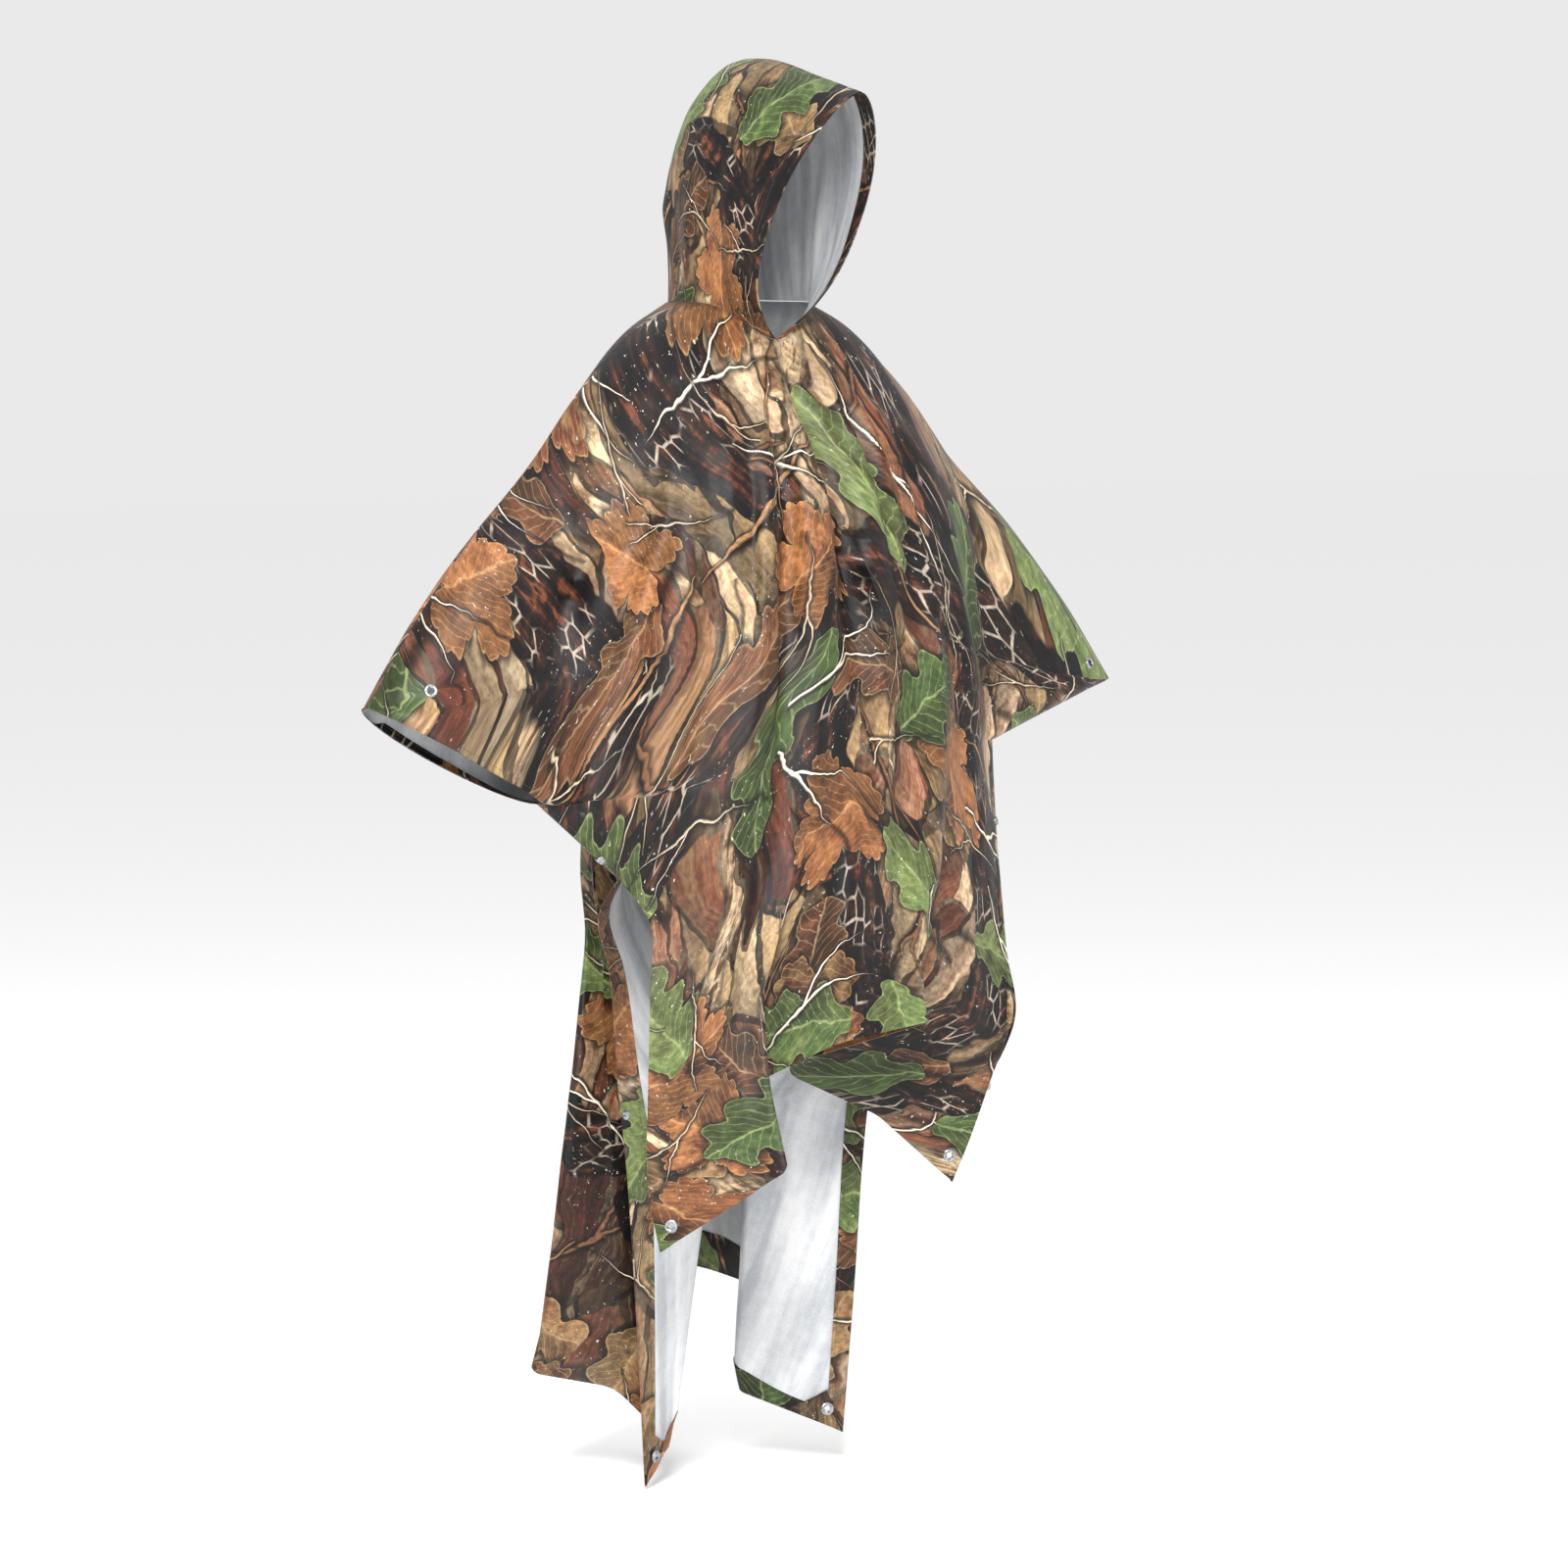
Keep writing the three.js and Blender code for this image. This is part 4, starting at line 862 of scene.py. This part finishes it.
# The print's layers from the bottom up: cells by the metre, turns in radians, and kept as a share of cells
printLayers = [
    (shards, {"cells": 24.0, "turn": 0.7, "move": (0.2, 0.9), "kept": 0.8, "gap": 0.04}),
    (shards, {"cells": 17.0, "turn": -0.8, "move": (1.6, 0.3), "kept": 0.6, "gap": 0.06}),
    (barkBands, {"shades": "barkPale", "turn": 0.5, "every": 0.43, "wide": 0.060, "move": (0.31, 0.2)}),
    (shards, {"cells": 19.0, "turn": 0.1, "move": (2.7, 1.1), "kept": 0.35, "gap": 0.08}),
    (twigs, {"cells": 4.6, "move": (1.3, 0.4), "kept": 0.6, "long": 0.14, "thin": 0.0045,
             "turn": 0.3, "spread": 2.6, "shade": tint(128, 88, 56)}),
    (barkBands, {"shades": "barkDark", "turn": -0.22, "every": 0.31, "wide": 0.095, "move": (0.11, 0.7)}),
    (barkBands, {"shades": "barkDark", "turn": 1.15, "every": 0.62, "wide": 0.080, "move": (0.27, 0.1)}),
    (twigs, {"cells": 3.4, "move": (4.1, 2.4), "kept": 0.55, "long": 0.17, "thin": 0.0075,
             "turn": -0.9, "spread": 1.6, "shade": tint(164, 122, 80)}),
    (leaves, {"cells": 5.0, "move": (3.1, 1.7), "kept": 0.55, "long": 0.074, "wide": 0.044,
              "lobes": 3.0, "deep": 0.40, "shades": "browns", "rim": tint(196, 172, 130)}),
    (leaves, {"cells": 4.4, "move": (5.6, 2.3), "kept": 0.62, "wide": 0.074,
              "lobes": 0, "deep": 0.46, "shades": "oranges", "rim": tint(214, 168, 110)}),
    (leaves, {"cells": 4.8, "move": (7.3, 4.9), "kept": 0.70, "long": 0.082, "wide": 0.052,
              "lobes": 3.6, "deep": 0.42, "shades": "greens", "rim": tint(176, 186, 130)}),
    (twigs, {"cells": 5.4, "move": (8.3, 5.1), "kept": 0.42, "long": 0.11, "thin": 0.0032,
             "turn": -0.4, "spread": 2.2, "shade": tint(226, 218, 202)}),
    (twigs, {"cells": 6.6, "move": (2.9, 7.7), "kept": 0.55, "long": 0.10, "thin": 0.0020,
             "turn": 0.9, "spread": 3.0, "shade": tint(206, 190, 164)}),
]
fabric = {"thread": 0.0009, "threadHigh": 0.02}
# The silver coating's greys: the specks are its own, the streaks are painted shade and sheen of soft folds
# down the cloth
coatingAndFoldShade = {
    "foldShadeShare": 0.85, "specks": [(0.35, tint(150, 152, 155)), (0.65, tint(224, 224, 224))],
    "streaks": [(0.36, tint(150, 153, 158)), (0.5, tint(182, 184, 186)), (0.64, tint(206, 206, 207))],
}


def newPaint(name, roughness, **fixed):
    paint = bpy.data.materials.new(name)
    paint.use_nodes = True
    shader = paint.node_tree.nodes["Principled BSDF"]
    shader.inputs["Roughness"].default_value = roughness
    for socket, value in fixed.items():
        shader.inputs[socket.replace("_", " ")].default_value = value
    return paint, paint.node_tree, shader


def feed(shader, **values):
    for socket, value in values.items():
        shader.id_data.links.new(value.socket, shader.inputs[socket.replace("_", " ")])


def clothPlace(tree):
    return Value(addNode(tree, "ShaderNodeUVMap", uv_map="cloth").outputs[0])


def objectPlace(tree):
    return Value(addNode(tree, "ShaderNodeTexCoord").outputs["Object"])


def bump(height, strength, distance):
    inputs = {"Height": height, "Strength": strength, "Distance": distance}
    return Value(addNode(height.tree, "ShaderNodeBump", inputs).outputs[0])


def weave(flat, creases):
    # Threads across and along as the product of two waves, over small soft creases
    across, down = [calc("SINE", way * (2 * math.pi / fabric["thread"])) for way in parts(flat)]
    return noise(flat, 34, 5, 0.55) * creases + across * down * fabric["threadHigh"]


def makePrintCloth():
    # Litter under the layers of the print, then a fine grain and clusters of pale flecks over them
    paint, tree, shader = newPaint("printCloth", 0.5, Sheen_Weight=0.02, Specular_IOR_Level=0.24)
    flat = clothPlace(tree)
    bent = warped(flat, 9, 3, 0.06)
    mottle = noise(bent, 17, 7, 0.62)
    colour = ramp(mottle, woodland["litter"])
    for draw, layer in printLayers:
        colour = draw(bent if draw is shards else flat, colour, layer)
    colour = blend(0.5, colour, ramp(noise(flat, 110, 5, 0.6), woodland["fine"]), "OVERLAY")
    flecks = soft(noise(flat, 170, 4, 0.7), 0.675, 0.72) * soft(noise(flat, 8, 2), 0.45, 0.6)
    colour = blend(flecks * 0.8, colour, woodland["flecks"])
    colour = Value(addNode(tree, "ShaderNodeGamma", {0: colour, 1: woodland["deepen"]}).outputs[0])
    inputs = {"Color": colour, "Saturation": woodland["colourful"]}
    colour = Value(addNode(tree, "ShaderNodeHueSaturation", inputs).outputs[0])
    feed(shader, Base_Color=colour, Roughness=mottle * 0.16 + 0.40,
         Normal=bump(weave(flat, 0.6), 0.35, 0.004))
    return paint


def makeSilverCloth():
    # The coating on the inner face: streaks down its length, small creases and fine specks. In its colour
    # the streaks and the small mottling are painted shade and sheen of soft folds; the small creases are
    # also a bump, and the specks are the coating's own.
    paint, tree, shader = newPaint("silverCloth", 0.4, Metallic=0.2, Sheen_Weight=0.05)
    flat = clothPlace(tree)
    # Painted shade and sheen of soft folds: streaks down the length with a little small mottling, also used
    # for the roughness
    streaks = noise(mapped(flat, size=(26, 3.5, 1)), 1, 4)
    paintedFoldShade = noise(flat, 60, 4) * (1 - coatingAndFoldShade["foldShadeShare"]) + streaks * coatingAndFoldShade["foldShadeShare"]
    coatWithFoldShade = ramp(paintedFoldShade, coatingAndFoldShade["streaks"])
    specks = ramp(noise(flat, 420, 2), coatingAndFoldShade["specks"])
    feed(shader, Base_Color=blend(0.12, coatWithFoldShade, specks), Roughness=paintedFoldShade * 0.22 + 0.32,
         Normal=bump(weave(flat, 0.8), 0.45, 0.005))
    return paint


def makeThread():
    # Wound thread, paler and darker along its length
    paint, tree, shader = newPaint("thread", 0.7, Sheen_Weight=0.2)
    wound = noise(objectPlace(tree), 900.0, 2.0, dimensions="3D")
    feed(shader, Base_Color=ramp(wound, [(0.3, tint(38, 32, 26)), (0.7, tint(74, 64, 48))]))
    return paint


def makeMetal(name, dark, pale, roughness):
    # Plated metal with fine brushed variation and small scuffs
    paint, tree, shader = newPaint(name, roughness, Metallic=1.0)
    worn = noise(objectPlace(tree), 380.0, 5.0, dimensions="3D")
    colour = ramp(worn, [(0.35, dark), (0.6, pale)])
    feed(shader, Base_Color=colour, Roughness=worn * 0.3 + (roughness - 0.15),
         Normal=bump(worn, 0.2, 0.0004))
    return paint


printCloth, silverCloth = makePrintCloth(), makeSilverCloth()
threadPaint = makeThread()
eyeletPaint = makeMetal("eyeletSteel", tint(112, 113, 116), tint(172, 173, 176), 0.3)
snapPaint = makeMetal("snapSteel", tint(104, 106, 110), tint(164, 166, 170), 0.34)
print("materials made")

# Panels, turned hems and corner patches. A layer is its upper and its lower height over the middle surface.
patchCells = 12
half = cut["clothWall"] / 2
panelLayer = (half, -half)
hemLayer = (-half - cut["hemGap"], -half - cut["hemGap"] - cut["clothWall"])
patchLayer = (hemLayer[1] - cut["hemGap"], hemLayer[1] - cut["hemGap"] - cut["clothWall"])
atHem = nearest(surfaces["front"]["rows"], sheetRows - 1)
atCuff = nearest(surfaces["front"]["rows"], cut["shoulderRows"] + 1)


def turnedHems(name, surface):
    # Strips of the panel's own grid: the last row, and the outer columns from below the cuff's top to it
    sides, last = cut["sideParts"], len(surface["columns"]) - 1
    strips = {
        "bottom": (slice(atHem, None), slice(None)),
        "right": (slice(atCuff, atHem), slice(0, sides + 1)),
        "left": (slice(atCuff, atHem), slice(last - sides, None)),
    }
    for side, (rows, columns) in strips.items():
        part = window(surface, rows, columns)
        hem = sheetPiece(f"{name}Hem.{side}", part, hemLayer, [printCloth], part["holes"])
        standIn(f"{name}_{side}_hem")
        yield hem


def cornerPatches(name, surface):
    # The corner's cells up to the diagonal and half of each cell on it, without the cells round the eyelet
    down, last = slice(len(surface["rows"]) - 1 - patchCells, None), len(surface["columns"]) - 1
    right = window(surface, down, slice(0, patchCells + 1))
    left = window(surface, down, slice(last - patchCells, None))
    mirrored = {key: left[key][:, ::-1] for key in ("points", "normals", "flat")}
    mirrored["holes"] = [(i, patchCells - j) for i, j in left["holes"]]
    for side, part, hole in [("right", right, right["holes"][0]), ("left", mirrored, mirrored["holes"][1])]:
        points, normals, flat = rawParts(part)
        i, j = np.divmod(np.arange(patchCells**2), patchCells)
        byHole = (abs(i - hole[0] + 0.5) < 1) & (abs(j - hole[1] + 0.5) < 1)
        corners = gridFaces((patchCells + 1, patchCells + 1))
        faces = facingOut([corners[(i > j) & ~byHole], corners[i == j][:, :3]], points, normals)
        patch = shell(f"{name}Patch.{side}", points, normals, flat, faces, patchLayer, [printCloth])
        standIn(f"corner_patch_{name}_{side}")
        yield patch


for name, surface in surfaces.items():
    panel = sheetPiece(f"{name}Panel", surface, panelLayer, [printCloth, silverCloth], surface["holes"])
    standIn(f"{name}_panel")
    sewnOn = [*turnedHems(name, surface), *cornerPatches(name, surface)]
print("panels, hems and corner patches made")

# Hood: two halves sewn along the middle, each a fan of ribs from that seam down to the neck line
hood = {
    "ribs": 15, "ribParts": 5, "steps": 52, "round": 0.6, "flat": (0.53, 0.38), "area": 0.096,
    "printPlace": (2.2, 0.5), "downFade": 12, "alongFade": 14,
    "seam": [(0, -0.226, 0.250), (0, -0.150, 0.268), (0, -0.040, 0.292), (0, 0.040, 0.285),
             (0, 0.088, 0.230), (0, 0.098, 0.130), (0, 0.108, 0.052)],
    "widths": [(0, 0.066), (0.2, 0.078), (0.4, 0.084), (0.6, 0.076), (0.8, 0.052), (1, 0)],
    # along, down, long, wide, turn, deep
    "creases": [(0.10, 0.62, 0.26, 0.030, 0.10, -0.0030), (0.22, 0.72, 0.22, 0.028, -0.12, 0.0028),
                (0.34, 0.58, 0.30, 0.034, 0.16, -0.0032), (0.47, 0.74, 0.20, 0.030, 0.05, 0.0030),
                (0.58, 0.60, 0.26, 0.034, -0.18, -0.0034), (0.70, 0.48, 0.24, 0.030, -0.22, 0.0030),
                (0.80, 0.66, 0.22, 0.028, -0.10, -0.0028), (0.90, 0.40, 0.30, 0.026, 0.04, 0.0024),
                (0.30, 0.24, 0.14, 0.050, 0.45, -0.0022), (0.52, 0.22, 0.14, 0.050, -0.50, 0.0020)],
}


def hoodNormals(points, sign):
    # Grid normals on the side that looks away from the middle
    normals = gridNormals(points, 1)
    return normals * np.sign(np.median(normals[..., 0]) * sign)


def hoodSurface(sign):
    # Rib: down from the seam, out as a sine's power to half way, then in to the neck line as a cube
    along = np.linspace(0, 1, hood["ribs"] * hood["ribParts"] + 1)
    k = np.arange(hood["steps"] + 1) / hood["steps"]
    t = lerp(k, (1 - np.cos(np.pi * k)) / 2, 0.5)
    necks = np.vstack([surface["points"][0] for surface in surfaces.values()])
    ownNeck = necks[sign * necks[:, 0] >= 0]
    foot = readLine(ownNeck[np.argsort(ownNeck[:, 1])], along) + [0, 0, cut["neckGap"]]
    top = readLine(smoothLine(hood["seam"]), along)
    out = between(hood["widths"], along, 1)[:, None] * np.sin(np.pi * np.minimum(t, 0.5))**hood["round"]
    x = np.maximum(lerp(out, sign * foot[:, :1], np.clip(2 * t - 1, 0, None)**3), cut["seamGap"] / 2)
    y, z = [lerp(top[:, c:c + 1], foot[:, c:c + 1], t) for c in (1, 2)]
    points = np.stack([sign * x, y, z], axis=-1)
    # Each crease is a bell across and along, and all fade towards the edges
    depth = np.zeros_like(x)
    for at, down, long, wide, turn, deep in hood["creases"]:
        aside = (along[:, None] - at - turn * (t - down)) / wide
        depth += deep * np.exp(-aside**2 - ((t - down) / long)**2)
    fade = np.clip(np.minimum(k, 1 - k) * hood["downFade"], 0, 1)
    fade = fade * np.clip(np.minimum(along, 1 - along) * hood["alongFade"], 0, 1)[:, None]
    points += hoodNormals(points, sign) * (depth * fade)[..., None]
    # Normals stay level with the neck line and the seam, so that the pieces end flush
    normals = hoodNormals(points, sign)
    normals[:, -1, 2] = 0
    normals[:, 0, 0] = 0
    normals[-1, :, 0] = 0
    normals /= np.maximum(np.linalg.norm(normals, axis=2, keepdims=True), 1e-9)
    runs = runAlong(points, 1)
    ahead = np.broadcast_to(along[:, None] * hood["flat"][0], runs.shape)
    printX, printY = hood["printPlace"]
    flat = np.stack([sign * (printX + ahead), printY + runs], axis=-1)
    print("half of the hood has", clothArea(points), "square metres of cloth")
    return {"points": points, "normals": normals, "flat": flat, "holes": []}


hoods = {"right": hoodSurface(-1), "left": hoodSurface(1)}
for side, surface in hoods.items():
    hoodHalf = sheetPiece(f"hood.{side}", surface, panelLayer, [printCloth, silverCloth])
    standIn(f"hood_{side}")
    rim = window(surface, slice(0, hood["ribParts"] + 1), slice(None))
    rim = sheetPiece(f"hoodHem.{side}", rim, hemLayer, [printCloth])
    standIn(f"hood_{side}_hem")
print("hood made")

# Eyelets and snaps are profiles of radius and height, turned about the cloth's normal
metal = {"lift": 0.0002, "weld": 1e-6, "sharpFrom": math.radians(50), "rollSteps": 9}


def cleaned(mesh, weld=None):
    # Merges doubles where a distance is given, and turns every face outwards
    work = bmesh.new()
    work.from_mesh(mesh)
    if weld:
        bmesh.ops.remove_doubles(work, verts=work.verts, dist=weld)
    bmesh.ops.recalc_face_normals(work, faces=work.faces)
    work.to_mesh(mesh)
    work.free()


def turned(name, profile, place, paint, segments):
    # Each point of the profile goes round the normal, and its last point joins its first
    normal = place["normal"] / np.linalg.norm(place["normal"])
    side = np.cross(normal, [0.0, 0.0, 1.0])
    side /= np.linalg.norm(side)
    other = np.cross(normal, side)
    radius, height = np.array(profile).T
    angle = 2 * np.pi * np.arange(segments) / segments
    ring = np.cos(angle)[:, None] * side + np.sin(angle)[:, None] * other
    points = place["point"] + ring[:, None] * radius[:, None] + normal * height[:, None]
    count = len(profile)
    k, i = np.meshgrid(np.arange(segments), np.arange(count), indexing="ij")
    after, onward = (k + 1) % segments, (i + 1) % count
    start, end = k * count, after * count
    faces = np.stack([start + i, end + i, end + onward, start + onward], axis=-1)
    mesh = bpy.data.meshes.new(name)
    mesh.from_pydata(points.reshape(-1, 3), [], faces.reshape(-1, 4).tolist())
    mesh.materials.append(paint)
    cleaned(mesh, metal["weld"])
    mesh.polygons.foreach_set("use_smooth", np.ones(len(mesh.polygons), bool))
    mesh.set_sharp_from_angle(angle=metal["sharpFrom"])
    return rootPiece(name, mesh)


def eyeletProfile(bottom):
    # A rolled ring on the outer face, a barrel through the layers and a flat washer inside
    hole, flange, edge = eyelet["hole"], eyelet["flange"], eyelet["washerEdge"]
    barrel, top = hole + eyelet["barrelWall"], half + metal["lift"]
    roll = [((hole + flange) / 2 + (flange - hole) / 2 * math.cos(a), top + eyelet["crown"] * math.sin(a))
            for a in np.linspace(0, np.pi, metal["rollSteps"])]
    foot = bottom - eyelet["washer"]
    return [*roll, (hole, foot), (flange - edge, foot), (flange, bottom - edge), (flange, bottom),
            (barrel, bottom), (barrel, top)]


def onSurface(surface, row, column):
    # The grid point next to a place in rows and columns of the solids
    i, j = nearest(surface["rows"], row), nearest(surface["columns"], column)
    return surface["points"][i, j], surface["normals"][i, j]


for name, place in eyeletPlaces.items():
    under = hemLayer if name.startswith("cuff") else patchLayer
    profile = eyeletProfile(under[1] - metal["lift"])
    ring = turned(f"eyelet.{name}", profile, place, eyeletPaint, eyelet["segments"])
    standIn(f"eyelet_{name}")

# Radius and height as shares: a domed cap with a shallow ring pressed into it
snapProfile = [(0, 0), (1, 0), (1.02, 0.25), (0.98, 0.55), (0.86, 0.78), (0.74, 0.74), (0.62, 0.80),
               (0.40, 0.94), (0.20, 1), (0, 1)]
for name, surface in surfaces.items():
    drops = runAlong(surface["points"][:, 0])
    drops -= drops[surface["rows"] == seamEnd][0]
    openRow = surface["rows"][(drops >= snap["openDrop"]) & (surface["rows"] % 1 == 0)][0]
    for side, column in [("right", snap["inEdge"]), ("left", surface["lastColumn"] - snap["inEdge"])]:
        for kind, row, lift, way in [("cap", seamEnd, half, 1), ("open", openRow, -hemLayer[1], -1)]:
            point, normal = onSurface(surface, row - snap["inEdge"], column)
            base = lift + metal["lift"]
            profile = [(r * snap["radius"], base + h * snap["height"]) for r, h in snapProfile]
            place = {"point": point, "normal": normal * way}
            piece = turned(f"snap.{kind}.{name}.{side}", profile, place, snapPaint, snap["segments"])
            standIn(f"snap_{kind}_{name}_{side}")
print("eyelets and snaps made")

# Stitches: short flat-ended threads in rows along the hems, the neck and the hood's seam
stitch = {"every": 0.0046, "long": 0.0030, "wide": 0.00055, "high": 0.0003, "taper": 0.3, "clear": 0.0001,
          "inHem": 0.5, "atNeck": 0.6, "atSeam": 0.3}


def stitchRow(points, normals, lift):
    # Boxes along a line: middle of each by length, its own length along the line, lying flat on the cloth
    lengths, every = runAlong(points), stitch["every"]
    at = np.arange(every, lengths[-1] - every, every)

    def read(values, where):
        return np.stack([np.interp(where, lengths, c) for c in values.T], axis=-1)

    middle, up = read(points, at), read(normals, at)
    ahead = read(points, at + every / 2) - read(points, at - every / 2)
    ahead /= np.linalg.norm(ahead, axis=1, keepdims=True)
    beside = np.cross(up, ahead)
    corners = np.array([(a, b, c) for a in (-1, 1) for b in (-1, 1) for c in (0, 1)])
    taper = 1 - stitch["taper"] * corners[:, 2]
    lift = lift + np.sign(lift) * corners[:, 2] * stitch["high"]
    return (middle[:, None] + ahead[:, None] * (corners[:, 0] * taper)[:, None] * stitch["long"] / 2
            + beside[:, None] * (corners[:, 1] * taper)[:, None] * stitch["wide"] / 2
            + up[:, None] * lift[:, None])


def sewn(name, rows):
    # The six faces of a box, for every stitch of all the rows
    blocks = np.vstack([stitchRow(*row) for row in rows])
    box = np.array([(0, 1, 3, 2), (4, 6, 7, 5), (0, 4, 5, 1), (2, 3, 7, 6), (1, 5, 7, 3), (0, 2, 6, 4)])
    faces = (np.arange(len(blocks))[:, None, None] * 8 + box).reshape(-1, 4)
    mesh = bpy.data.meshes.new(name)
    mesh.from_pydata(blocks.reshape(-1, 3), [], faces.tolist())
    mesh.materials.append(threadPaint)
    cleaned(mesh)
    rootPiece(name, mesh)


def lineBetween(grid, first, second, share):
    # A line of points and one of normals, part of the way from one grid line to the next
    return [lerp(grid[key][first], grid[key][second], share) for key in ("points", "normals")]


outside, inside = half, hemLayer[1] - stitch["clear"]
inCuff, whole, sides = slice(atCuff, atHem), slice(None), cut["sideParts"]
for name, surface in surfaces.items():
    lines = []
    for lift in (outside, inside):
        lines.append([*lineBetween(surface, atHem, atHem + 1, stitch["inHem"]), lift])
        for j, inner in [(sides, sides - 1), (-1 - sides, -sides)]:
            lines.append([*lineBetween(surface, (inCuff, j), (inCuff, inner), stitch["inHem"]), lift])
    lines.append([*lineBetween(surface, 0, 1, stitch["atNeck"]), outside])
    sewn(f"{name}Stitches", lines)
for side, surface in hoods.items():
    byRim = lineBetween(surface, hood["ribParts"] - 1, hood["ribParts"], stitch["inHem"])
    bySeam = lineBetween(surface, (whole, 1), (whole, 2), stitch["atSeam"])
    lines = [[*bySeam, outside], [*byRim, outside], [*byRim, inside]]
    sewn(f"hoodStitches.{side}", lines)
print("stitches made")

bpy.context.scene.view_settings.view_transform = "Standard"
